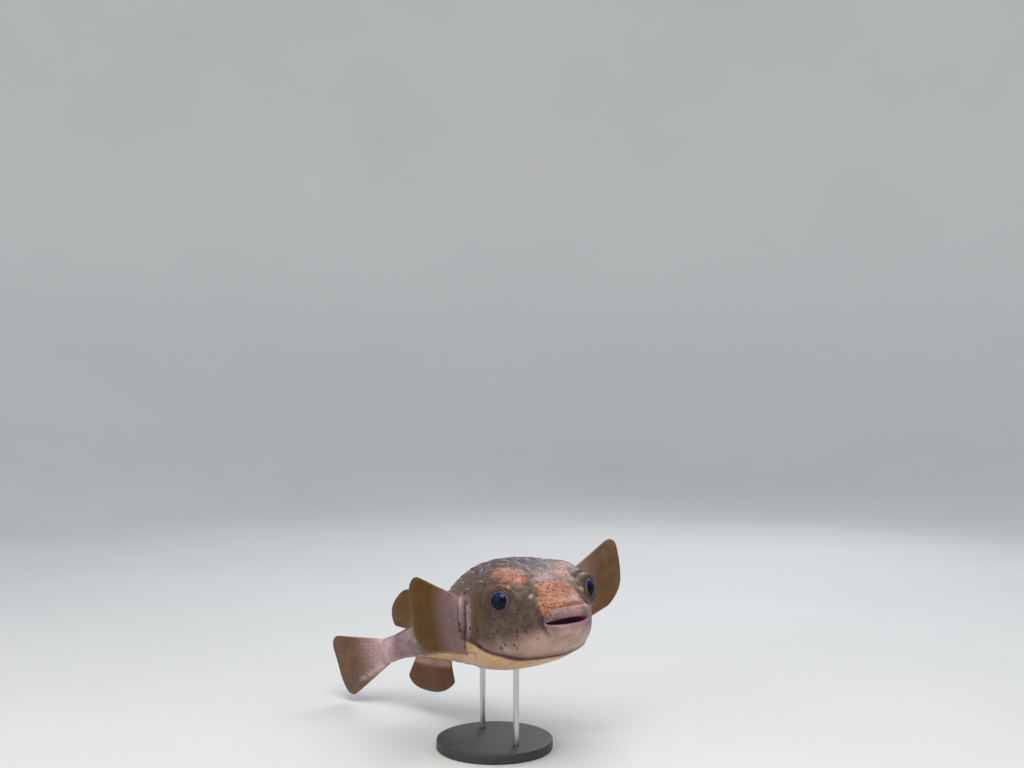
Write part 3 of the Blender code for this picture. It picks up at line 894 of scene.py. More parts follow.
@dataclass(frozen=True)
class FinFinish:
    """Leathery fin web between soft rays: pale and pinkish at the root, olive or rusty brown further out, with an
    orange painted rim light along the end rays where it is set.
    """

    name: str
    root: Colour
    web: Colour
    root_reach: tuple[float, float]
    flesh: Colour
    spots: float = 0.0
    painted_rim_light: float = 0.0
    edge: Colour = (0.100, 0.064, 0.022)
    spot: Colour = (0.075, 0.032, 0.040)
    # Orange of the painted rim light.
    orange: Colour = (0.46, 0.20, 0.095)

    def build(self, spots: bpy.types.NodeTree, grain: bpy.types.NodeTree) -> bpy.types.Material:
        """Makes the material."""
        material, sheet, shader, where = new_material(
            self.name, Coat_Weight=0.08, Coat_Roughness=0.3, Specular_IOR_Level=0.3
        )
        out, ray = sheet.mask("fin_out"), sheet.mask("fin_ray")
        patchy = sheet.noise(where, 55.0, 5.0, 0.6, 0.5)
        patches = sheet.rise(patchy, 0.35, 0.65)
        web = sheet.mix(patches, self.web, toned(self.web, 1.5))
        root = sheet.mix(patches, toned(self.root, 0.8), toned(self.root, 1.2))
        colour = sheet.mix(sheet.rise(sheet.nudged(out, patchy, 0.4), *self.root_reach), root, web)
        colour = sheet.mix(sheet.rise(out, 0.86, 1.0, 0.0, 0.7), colour, self.edge)
        colour = sheet.mix(sheet.times(ray, sheet.rise(out, 0.1, 0.9, 0.30, 0.16)), colour, toned(self.web, 2.2))
        fleshy = sheet.rise(sheet.mask("fin_flesh"), 0.25, 0.95, 0.0, 0.9)
        flesh = sheet.mix(patches, toned(self.flesh, 0.8), toned(self.flesh, 1.15))
        colour = sheet.mix(sheet.sums("MAXIMUM", fleshy, sheet.mask("fin_pale")), colour, flesh)
        # Painted rim light: orange along the fin's first and last rays.
        if self.painted_rim_light:
            colour = sheet.mix(sheet.times(sheet.mask("fin_rim"), self.painted_rim_light), colour, self.orange)
        if self.spots:
            dots = sheet.group(spots, place=where, spacing=270.0, size=0.42, softness=0.14, share=0.85).outputs[0]
            reach = sheet.times(sheet.rise(out, 0.98, 0.70), sheet.rise(out, 0.15, 0.45, 0.0, self.spots))
            colour = sheet.mix(sheet.times(dots, reach), colour, self.spot)
        sheet.feed(shader.inputs["Base Color"], colour)
        fine = sheet.group(grain, place=where, wrinkles=240.0)
        sheet.feed(shader.inputs["Roughness"], sheet.rise(fine.outputs["Tone"], 0, 1, 0.42, 0.58))
        joints = sheet.node("TexWave", wave_type="BANDS", bands_direction="X")
        joints.inputs["Scale"].default_value = 14.0
        sheet.feed(joints.inputs["Vector"], sheet.mask("fin_place", "Vector"))
        height = sheet.sums("MULTIPLY_ADD", sheet.times(joints.outputs["Fac"], ray), 0.5, fine.outputs["Height"])
        sheet.emboss(shader, height, 0.5, 0.0003)
        return material


@dataclass(frozen=True)
class EyeFinish:
    """A glassy eye: a wide blue-black pupil with a painted sky reflection at its top, and a thin grey-green iris
    round it.
    """

    name: str = "eye_glassy"
    pupil: Colour = (0.0025, 0.0030, 0.009)
    blue_sheen_and_sky_reflection: Colour = (0.006, 0.012, 0.110)
    iris: Colour = (0.105, 0.112, 0.094)
    fleck: Colour = (0.20, 0.22, 0.16)
    white: Colour = (0.09, 0.075, 0.06)

    def build(self) -> bpy.types.Material:
        """Makes the material, which reads the masks that the eyeball carries."""
        material, sheet, shader, where = new_material(
            self.name, Coat_Weight=0.2, Coat_Roughness=0.03, Specular_IOR_Level=0.05
        )
        off_gaze = sheet.mask("off_gaze")
        flecks, fibres = sheet.noise(where, 900.0, 4.0, 0.7), sheet.noise(where, 300.0, 5.0, 0.7, 1.0)
        past_pupil = sheet.rise(off_gaze, 33.0, 37.0)
        # Painted reflection of the sky on the top of the pupil, together with the eye's blue sheen.
        pupil = sheet.mix(sheet.rise(sheet.mask("gaze_height"), 0.05, 0.55, 0.0, 0.85), self.pupil, self.blue_sheen_and_sky_reflection)
        iris = sheet.mix(sheet.rise(fibres, 0.3, 0.7), toned(self.iris, 0.55), self.iris)
        iris = sheet.mix(sheet.rise(flecks, 0.58, 0.75, 0.0, 0.6), iris, self.fleck)
        colour = sheet.mix(sheet.rise(off_gaze, 32.0, 34.5), pupil, iris)
        sheet.feed(shader.inputs["Base Color"], sheet.mix(sheet.rise(off_gaze, 43.0, 47.0), colour, self.white))
        sheet.feed(shader.inputs["Roughness"], sheet.rise(off_gaze, 33.0, 37.0, 0.12, 0.30))
        sheet.emboss(shader, sheet.times(fibres, past_pupil), 0.3, 0.0002)
        return material


@dataclass(frozen=True)
class MetalFinish:
    """Painted or brushed steel for the stand."""

    name: str
    colour: Colour
    metallic: float
    roughness: tuple[float, float]
    grain_scale: tuple[float, float, float]
    bump: float

    def build(self) -> bpy.types.Material:
        """Makes the material."""
        material, sheet, shader, where = new_material(self.name, Metallic=self.metallic)
        grain = sheet.noise(sheet.stretched(where, self.grain_scale), 1.0, 5.0, 0.65)
        tone = sheet.mix(sheet.rise(grain, 0.35, 0.65), toned(self.colour, 0.82), toned(self.colour, 1.12))
        sheet.feed(shader.inputs["Base Color"], tone)
        sheet.feed(shader.inputs["Roughness"], sheet.rise(grain, 0.3, 0.7, *self.roughness))
        sheet.emboss(shader, grain, 0.4, self.bump)
        return material


@dataclass
class SpineCoat:
    """Slender spines folded back along the body, each rising from a low sheath in the skin."""

    body: BodyForm
    markings: Markings
    pose: Pose
    rows: tuple = (
        (0.205, 0.040, 0.55),
        (0.262, 0.048, 0.70),
        (0.322, 0.056, 0.80),
        (0.385, 0.070, 0.95),
        (0.450, 0.080, 1.0),
        (0.515, 0.080, 1.0),
        (0.580, 0.074, 0.9),
        (0.640, 0.062, 0.8),
        (0.700, 0.050, 0.7),
        (0.755, 0.040, 0.6),
        (0.805, 0.030, 0.5),
    )
    spacing: float = 0.0175
    turn_jitter: float = 0.22
    place_jitter: float = 0.011
    bare_face: tuple[float, float] = (0.30, 0.34)
    fin_gap: tuple[float, float] = (0.33, 0.40)
    fin_gap_heights: tuple[float, float] = (-0.10, 0.085)
    belly_angle: float = -50.0
    belly_length: float = 0.42
    root_radius: float = 0.0011
    tip_radius: float = 0.00018
    around: int = 6
    lengths: int = 8
    seed: int = 7

    def roots(self) -> list[tuple[float, float, float, float]]:
        """Place, angle, length and lift of each spine."""
        rng = np.random.default_rng(self.seed)
        turns = np.linspace(0, 2 * np.pi, 181)
        found = []
        for number, (place, length, vigour) in enumerate(self.rows):
            loop = self.body.surface(np.full_like(turns, place), turns)
            girth = np.concatenate([[0], np.cumsum(np.linalg.norm(np.diff(loop, axis=0), axis=1))])
            count = max(6, int(round(girth[-1] / self.spacing)))
            stagger = 0.5 if number % 2 else 0.0
            for k in range(count):
                at = (k + stagger + rng.uniform(-self.turn_jitter, self.turn_jitter)) / count % 1.0
                angle = float(np.interp(at * girth[-1], girth, turns))
                angle = (angle + np.pi) % (2 * np.pi) - np.pi
                root = place + rng.uniform(-self.place_jitter, self.place_jitter)
                above = float(elevation(angle))
                cheek, gill = self.bare_face
                if above < 30 and (place < cheek or (place < gill and above > -60)):
                    continue
                _, up = self.body.outline(root, angle)
                low, high = self.fin_gap_heights
                if self.fin_gap[0] < root < self.fin_gap[1] and low < up < high:
                    continue
                reach = length * (self.belly_length if above < self.belly_angle else 1.0) * rng.uniform(0.85, 1.12)
                found.append((root, angle, reach, vigour * rng.uniform(0.8, 1.2)))
        return found

    def paths(self) -> Array:
        """Points along every spine over the surface, (spines, lengths + 1, place and angle and lift)."""
        paths = []
        for root, angle, reach, vigour in self.roots():
            share = np.linspace(0, 1, self.lengths + 1)
            place = root + reach * share
            flatter = 0.4 if abs(angle + math.pi / 2) < 0.7 else 1
            tip = 0.0011 + 0.0014 * vigour * float(ease(root, 0.36, 0.50)) * flatter
            lift = -0.0011 + tip * share - 0.0016 * ease(share, 0.22, 0.0)
            paths.append(np.stack([place, np.full_like(place, angle), lift], -1))
        return np.array(paths)

    def outwards(self, place: Array, angle: Array) -> tuple[Array, Array]:
        """Surface points and outward normals."""
        step, turn = 0.002, 0.02
        points = self.body.surface(place, angle)
        ahead = self.body.surface(place + step, angle) - self.body.surface(place - step, angle)
        round_it = self.body.surface(place, angle + turn) - self.body.surface(place, angle - turn)
        return points, unit(np.cross(ahead, round_it))

    def build(self, material: bpy.types.Material) -> bpy.types.Object:
        """Makes all spines as one closed mesh.

        Args:
            material: Their finish.

        Returns:
            The object.
        """
        paths = self.paths()
        count, rungs = paths.shape[:2]
        surface, normal = self.outwards(paths[..., 0], paths[..., 1])
        axis = surface + normal * paths[..., 2:3]
        ahead = unit(np.gradient(axis, axis=1))
        out = unit(normal - ahead * (normal * ahead).sum(-1, keepdims=True))
        beside = np.cross(ahead, out)
        share = np.linspace(0, 1, rungs)
        radius = self.root_radius + (self.tip_radius - self.root_radius) * share**1.15
        turns = np.arange(self.around) / self.around * 2 * np.pi
        ring = np.cos(turns)[:, None] * out[:, :, None] + np.sin(turns)[:, None] * beside[:, :, None]
        verts = axis[:, :, None] + ring * radius[None, :, None, None]
        per = rungs * self.around
        faces = []
        for spine in np.arange(count * per).reshape(count, rungs, self.around):
            faces += quads(closed(spine)) + [spine[0, ::-1].tolist(), spine[-1].tolist()]
        obj = mesh_object("spine_coat", self.pose.place(verts.reshape(-1, 3)), faces)
        face_outwards(obj)
        root_place = np.repeat(paths[:, 0, 0], per)
        root_angle = np.repeat(paths[:, 0, 1], per)
        masks = self.markings.masks(root_place, root_angle, np.repeat(surface[:, 0], per, axis=0))
        masks["along"] = np.tile(np.repeat(share, self.around), count)
        store_masks(obj, masks)
        patch = 0.003  # width of a spine's own square in the map
        base = np.stack([(root_angle / (2 * np.pi)) % 1.0 * (1 - patch), root_place * (1 - patch)], -1)
        local = np.stack([np.tile(np.tile(turns / (2 * np.pi), rungs), count), masks["along"]], -1) * patch
        layer = obj.data.uv_layers.new(name="OFBake")
        corner = np.empty(len(obj.data.loops), np.int64)
        obj.data.loops.foreach_get("vertex_index", corner)
        layer.data.foreach_set("uv", (base + local)[corner].ravel())
        obj.data.materials.append(material)
        return obj


@dataclass
class Cloth:
    """Points of the skin being gathered, each with what the relief and the markings need to know of it."""

    point: list[Array] = field(default_factory=list)
    place: list[Array] = field(default_factory=list)
    angle: list[Array] = field(default_factory=list)
    inside: list[Array] = field(default_factory=list)
    lid: list[Array] = field(default_factory=list)
    count: int = 0

    def add(
        self,
        point: Array,
        place: float | Array,
        angle: float | Array,
        inside: float | Array = 0.0,
        lid: float | Array = 0.0,
    ) -> Array:
        """Adds points.

        Args:
            point: The points, (..., 3).
            place: Their places along the body.
            angle: Their angles round it.
            inside: 1 in the mouth.
            lid: 1 on the lids.

        Returns:
            Their vertex numbers, laid out like the points.
        """
        shape = point.shape[:-1]
        self.point.append(point.reshape(-1, 3))
        for kept, given in ((self.place, place), (self.angle, angle), (self.inside, inside), (self.lid, lid)):
            kept.append(np.broadcast_to(given, shape).ravel().astype(float))
        numbers = self.count + np.arange(len(self.point[-1])).reshape(shape)
        self.count += numbers.size
        return numbers

    def whole(self) -> tuple[Array, ...]:
        """All points, places, angles, shares inside the mouth and shares on the lids."""
        return tuple(np.concatenate(part) for part in (self.point, self.place, self.angle, self.inside, self.lid))


@dataclass
class Skin:
    """The whole skin in one closed mesh: lips and mouth hollow, lids, folds, gill slit and spine sheaths."""

    body: BodyForm
    mouth: Mouth
    eyes: dict[Side, EyeSet]
    markings: Markings
    coat: SpineCoat
    pose: Pose
    columns: int = 232
    rings: int = 318
    front_place: float = 0.045
    lip_rings: int = 20
    hollow_rings: int = 12
    roll_rings: int = 8
    collar_rings: int = 18
    roll_share: float = 0.30
    rim_tint: float = 0.80
    hollow_swell: float = 1.3
    window_angles: tuple[float, float] = (2, 52)
    lid_gap: float = 0.0014
    lid_roll: float = 0.0009
    fold_reach: float = 0.030
    depth: float = 0.0004

    def column_angles(self) -> Array:
        """Angles round the body from the back down the left side and up the right, closer together by the eyes."""
        quarter, eye_angle = math.pi / 2, math.radians(28)
        half = crowded(quarter, -quarter, self.columns // 2 + 1, lambda angle: 1 + 0.9 * bell(angle, eye_angle, 0.55))
        return np.concatenate([half, math.pi - half[-2:0:-1]])

    def ring_places(self) -> Array:
        """Places of the rings behind the lips, closer together at the muzzle, eyes and gills."""
        crowds = ((3.2, 0.04, 0.06), (1.5, 0.15, 0.08), (2.0, 0.31, 0.040), (1.2, 1.0, 0.01))
        return crowded(
            self.front_place,
            1.0,
            self.rings,
            lambda place: 1 + sum(extra * bell(place, middle, reach) for extra, middle, reach in crowds),
        )

    def front(self, angles: Array) -> tuple[Array, Array, Array, Array]:
        """The rings from the first body ring to the slit and into the mouth.

        Args:
            angles: Angles of the columns.

        Returns:
            Place, angle, point and how far inside the mouth, each (rings, columns).
        """
        size = self.body.standard_length
        side, up = self.body.outline(np.full_like(angles, self.front_place), angles)
        side, up = side * size, up * size
        turn = np.arctan2((up - self.mouth.up) / (up.max() - self.mouth.up), side / side.max())
        slit_side, slit_up = self.mouth.slit(turn)
        roll = self.mouth.lip_roll
        rolled = roll * (1 - np.cos(np.linspace(0, np.pi / 2, self.roll_rings)))
        full = np.hypot(side - slit_side, up - slit_up)
        places, turns, points, inside = [], [], [], []
        shares = np.linspace(0, 1, self.lip_rings + 1)[1:]
        steps = [np.minimum(r / full, self.roll_share) for r in rolled]
        base = steps[-1]
        steps += [base + (1 - base) * share**1.25 for share in shares[:-1]]
        for step in reversed(steps):
            x = (slit_side + (side - slit_side) * step) / size
            z = (slit_up + (up - slit_up) * step) / size
            place, angle = self.body.place_in_front(x, z)
            point = self.body.surface(place, angle)
            away = np.minimum(step * full, roll)
            point[:, 1] += roll - np.sqrt(np.clip(roll**2 - (roll - away) ** 2, 0, None))
            places.append(place), turns.append(angle), points.append(point)
            inside.append(self.rim_tint * ease(away, 0.4 * roll, 0.0))
        rim = points[-1]
        for k in range(1, self.hollow_rings + 1):
            share = k / self.hollow_rings
            point = rim.copy()
            point[:, 0] = rim[:, 0] * (1 - 0.30 * share)
            opened = 1 + self.hollow_swell * math.sin(math.pi * min(1.0, share * 1.2) / 1.2) * (1 - share)
            point[:, 2] = self.mouth.up + (rim[:, 2] - self.mouth.up) * opened * (1 - 0.6 * share**3)
            point[:, 1] = rim[:, 1] + (self.mouth.depth - rim[:, 1]) * share
            places.append(places[-1]), turns.append(turns[-1]), points.append(point)
            inside.append(np.ones(len(rim)))
        return np.array(places), np.array(turns), np.array(points), np.array(inside)

    def window(self, eye: EyeSet, places: Array, angles: Array) -> tuple[int, int, int, int]:
        """First and last ring and column of the part of the grid that the lids replace."""
        low, high = self.window_angles
        i0, i1 = np.searchsorted(places, eye.window)
        turn = np.where(np.cos(angles) * eye.side.value > 0, elevation(angles), -180)
        inside = np.where((turn > low) & (turn < high))[0]
        return int(i0), int(i1), int(inside[0]), int(inside[-1])

    def solve(self, eye: EyeSet, wanted: Array) -> tuple[Array, Array]:
        """Finds the place and angle where rays from an eye's centre leave the body.

        Args:
            eye: The eye.
            wanted: Unit directions, (n, 3).

        Returns:
            Place and angle of each.
        """
        places, turns = np.linspace(0.085, 0.21, 180), np.radians(np.linspace(-20, 80, 180))
        place, above = (grid.ravel() for grid in np.meshgrid(places, turns, indexing="ij"))
        angle = above if eye.side is Side.LEFT else math.pi - above
        points = self.body.surface(place, angle)
        near = eye.beside(points, self.markings.eye_reach)
        place, angle, away = place[near], angle[near], unit(points[near] - eye.centre)
        best = np.array([np.argmax(away @ way) for way in wanted])
        s, f = place[best], angle[best]
        refinements, step = 12, 1e-5
        for _ in range(refinements):
            here = unit(self.body.surface(s, f) - eye.centre)
            along = (unit(self.body.surface(s + step, f) - eye.centre) - here) / step
            across = (unit(self.body.surface(s, f + step) - eye.centre) - here) / step
            miss = wanted - here
            a, b, c = (along**2).sum(1), (along * across).sum(1), (across**2).sum(1)
            u, v = (along * miss).sum(1), (across * miss).sum(1)
            det = a * c - b * b
            s = s + np.clip((c * u - b * v) / det, -0.004, 0.004)
            f = f + np.clip((a * v - b * u) / det, -0.03, 0.03)
        return s, f

    def lids(self, eye: EyeSet, rim: Array, rim_place: Array, rim_angle: Array) -> tuple[Array, Array, Array]:
        """Rings from the window's rim over the lids to their edge and in behind the eyeball.

        Args:
            eye: The eye.
            rim: Points of the window's rim, in order.
            rim_place: Their places.
            rim_angle: Their angles.

        Returns:
            Place, angle and point, each (rings, rim points).
        """
        count = len(rim)
        _, turn = eye.spread(rim)
        turn = np.unwrap(turn)
        even = turn[0] + (turn[-1] - turn[0]) * count / (count - 1) * np.arange(count) / count
        even = even + np.mean(turn - even)
        turn = 0.25 * turn + 0.75 * even
        s, f = self.solve(eye, eye.direction(np.full(count, eye.collar), turn))
        if eye.side is Side.RIGHT:
            rim_angle = np.where(rim_angle < 0, rim_angle + 2 * math.pi, rim_angle)
        places, angles, points = [], [], []
        for share in np.linspace(0, 1, self.collar_rings + 1)[1:]:
            places.append(rim_place + (s - rim_place) * share)
            angles.append(rim_angle + (f - rim_angle) * share)
            points.append(self.body.surface(places[-1], angles[-1]))
        lid = eye.radius + self.lid_gap
        slope = np.linspace(eye.collar, math.radians(49), 10)[1:]
        for off in (*slope, *np.radians(np.linspace(48.3, math.degrees(eye.lid_edge), 4))):
            share = ease(off, eye.collar, math.radians(46))
            way = eye.direction(np.full(count, off), turn)
            out = np.linalg.norm(self.body.surface(*self.solve(eye, way)) - eye.centre, axis=1)
            points.append(eye.centre + way * (out * (1 - share) + lid * share)[:, None])
        edge = eye.opening
        ends = [
            (eye.lid_edge - (eye.lid_edge - edge) * math.sin(bend), lid - self.lid_roll * (1 - math.cos(bend)))
            for bend in np.linspace(0, math.pi / 2, 6)[1:]
        ]
        tuck = ((0, 0.0004), (0.03, 0.0020), (0.3, 0.0030), (0.6, 0.0040))
        for off, far in ends + [(edge - back, eye.radius - deep) for back, deep in tuck]:
            points.append(eye.centre + eye.direction(np.full(count, off), turn) * far)
        behind = len(points) - len(places)
        return np.array(places + [s] * behind), np.array(angles + [f] * behind), np.array(points)

    def build(self, material: bpy.types.Material) -> bpy.types.Object:
        """Makes the skin.

        Args:
            material: Its finish.

        Returns:
            The object.
        """
        angles, places = self.column_angles(), self.ring_places()
        grid_place, grid_angle = np.meshgrid(places[:-1], angles, indexing="ij")
        grid = self.body.surface(grid_place, grid_angle)
        front_place, front_angle, front, front_inside = self.front(angles)
        cloth = Cloth()
        number = cloth.add(grid, grid_place, grid_angle)
        into_mouth = np.concatenate([number[:1], cloth.add(front, front_place, front_angle, front_inside)])
        keep = np.ones((len(number) - 1, len(angles)), bool)
        faces: list[list[int]] = []

        def cap(ring: Array, pole: Array) -> None:
            """Closes a ring of vertex numbers with triangles to a pole."""
            faces.extend([int(a), int(b), int(pole)] for a, b in zip(ring, np.roll(ring, -1)))

        for eye in self.eyes.values():
            i0, i1, j0, j1 = self.window(eye, places, angles)
            keep[i0:i1, j0:j1] = False
            rim = [(i0, j) for j in range(j0, j1)] + [(i, j1) for i in range(i0, i1)]
            rim += [(i1, j) for j in range(j1, j0, -1)] + [(i, j0) for i in range(i1, i0, -1)]
            rim = tuple(np.array(rim).T)
            place, angle, ring = self.lids(eye, grid[rim], grid_place[rim], grid_angle[rim])
            on_lid = np.arange(len(ring)) >= self.collar_rings
            loops = np.concatenate([number[rim][None], cloth.add(ring, place, angle, lid=on_lid[:, None])])
            faces += quads(closed(loops))
            back = eye.centre + eye.gaze * (eye.radius - 0.005)
            cap(loops[-1], cloth.add(back, place[-1, 0], angle[-1, 0], lid=1.0))
        faces += quads(closed(number), keep)
        faces += quads(closed(into_mouth)[::-1])
        tail_end = self.body.surface(np.ones(1), np.zeros(1))[0]
        cap(number[-1], cloth.add(tail_end, 0.0, 0.0))
        cap(into_mouth[-1], cloth.add(front[-1].mean(axis=0), 0.0, 0.0, inside=1.0))
        point, place, angle, inside, lid = cloth.whole()
        obj = mesh_object("fish_skin", point, faces)
        face_outwards(obj)
        relief = self.relief(point, place, angle, lid, inside)
        move_points(obj, self.pose.place(point + normals_of(obj) * relief[:, None]))
        store_masks(obj, {**self.markings.masks(place, angle, point), "inside": inside})
        drop_loose(obj)
        obj.data.materials.append(material)
        return obj

    def relief(self, point: Array, place: Array, angle: Array, lid: Array, inside: Array) -> Array:
        """How far the skin stands out from or lies in from the plain body form, in metres.

        Args:
            point: Skin points.
            place: Their places.
            angle: Their angles.
            lid: 1 on the lids, where the form is already final.
            inside: 1 in the mouth.

        Returns:
            The distance at each point.
        """
        side, up = self.body.outline(place, angle)
        wide, above = np.abs(side), elevation(angle)
        from_slit = point[:, 2] - self.mouth.up
        near_front = ease(place, 0.040, 0.020)
        upper_lip = bell(from_slit - self.mouth.half_height, 0.0055, 0.0042) * near_front
        lower_lip = bell(from_slit + self.mouth.half_height, -0.0060, 0.0050) * near_front
        relief = self.mouth.lip_swell * (upper_lip + 0.8 * lower_lip)
        relief -= 0.0020 * bell(up, 0.0250, 0.0040) * ease(place, 0.045, 0.02) * ease(wide, 0.062, 0.045)
        cheek = ease(above, 46, 4) * ease(above, -64, -30)
        relief += (0.0008 * bell(place, 0.0600, 0.0090) - 0.0028 * bell(place, 0.0480, 0.0055)) * cheek
        past_band = place - self.markings.band_place(above)
        fold = ease(above, -10, -26)
        relief += (0.0014 * bell(past_band, -0.016, 0.0090) - 0.0050 * bell(past_band, 0.006, 0.0105)) * fold
        past_gill = place - self.markings.gill_place(up)
        tall = ease(up, 0.088, 0.070) * ease(up, -0.078, -0.060)
        for height, middle, reach in ((-0.0040, 0, 0.0034), (0.0016, -0.0110, 0.0080), (0.0042, 0.0200, 0.0135)):
            relief += height * bell(past_gill, middle, reach) * tall
        for eye in self.eyes.values():
            off, turn = eye.spread(point)
            off, near = np.degrees(off), eye.beside(point, self.fold_reach) * (1 - lid)
            top, low = ease(np.sin(turn), 0.1, 0.75), ease(np.sin(turn), -0.2, -0.8)
            folds = 0.0009 * bell(off, 61, 5.0) - 0.0012 * bell(off, 70, 4.0) + 0.0006 * bell(off, 80, 6)
            relief += (folds * top - 0.0004 * bell(off, 66, 4.5) * low) * near
            far = np.linalg.norm(point - self.markings.nostril(eye.side), axis=1)
            relief += 0.0027 * ease(far, 0.0048, 0.0014)
        relief += self.sheaths(point, place)
        relief -= 0.0020 * ease(place, 0.925, 0.985) * bell(above, 0, 45)
        waves = np.sin(point @ np.array([210.0, 160.0, 90.0])) * np.sin(point @ np.array([-130.0, 190.0, 240.0]))
        relief += 0.00022 * waves * ease(place, 0.05, 0.12)
        return (relief - self.depth) * (1 - lid) * (1 - inside)

    def sheaths(self, point: Array, place: Array) -> Array:
        """Low ridges of skin over the roots of the spines, in metres."""
        paths = self.coat.paths()
        surface = self.body.surface(paths[..., 0], paths[..., 1])
        lifted = np.zeros(len(point))
        order = np.argsort(place)
        sorted_place = place[order]
        ahead, past = -0.012, 0.005
        for path, line in zip(paths, surface):
            low, high = np.searchsorted(sorted_place, (path[0, 0] + ahead, path[-1, 0] + past))
            some = order[low:high]
            start, end = line[0], line[len(line) // 2]
            along = end - start
            share = np.clip(((point[some] - start) @ along) / (along @ along), -0.15, 1)
            far = np.linalg.norm(point[some] - start - share[:, None] * along, axis=1)
            flatter = 0.4 if math.sin(path[0, 1]) < -0.7 else 1
            tall = (0.0007 + 0.0009 * float(ease(path[0, 0], 0.34, 0.46))) * flatter
            ridge = tall * bell(far, 0, 0.0025) * (1 - 0.85 * np.clip(share, 0, 1)) * ease(share, -0.15, 0.05)
            lifted[some] = np.maximum(lifted[some], ridge)
        return lifted


@dataclass
class Eyeball:
    """An eyeball with a clear bulge over its pupil."""

    eye: EyeSet
    pose: Pose
    bulge: float = 0.0007
    pupil_stretch: float = 0.12

    def build(self, material: bpy.types.Material) -> bpy.types.Object:
        """Makes the eyeball.

        Args:
            material: Its finish.

        Returns:
            The object.
        """
        deselect_all()
        bpy.ops.mesh.primitive_uv_sphere_add(segments=96, ring_count=64, radius=1.0)
        obj = bpy.context.active_object
        obj.name = obj.data.name = "eyeball_" + self.eye.side.word
        raw = points_of(obj)
        off = np.arccos(np.clip(raw[:, 2], -1, 1))
        ways = self.eye.direction(off, np.arctan2(raw[:, 1], raw[:, 0]))
        far = self.eye.radius - 0.0001 + self.bulge * ease(off, math.radians(46), math.radians(20))
        points = self.eye.centre + ways * far[:, None]
        move_points(obj, self.pose.place(points))
        face_outwards(obj)
        obj.data.shade_smooth()
        tall = 1 - self.pupil_stretch * (unit(raw[:, :2] + 1e-9)[:, 1]) ** 2
        store_masks(obj, {"off_gaze": np.degrees(off) * tall, "gaze_height": ways @ self.eye.upward})
        obj.data.materials.append(material)
        return obj


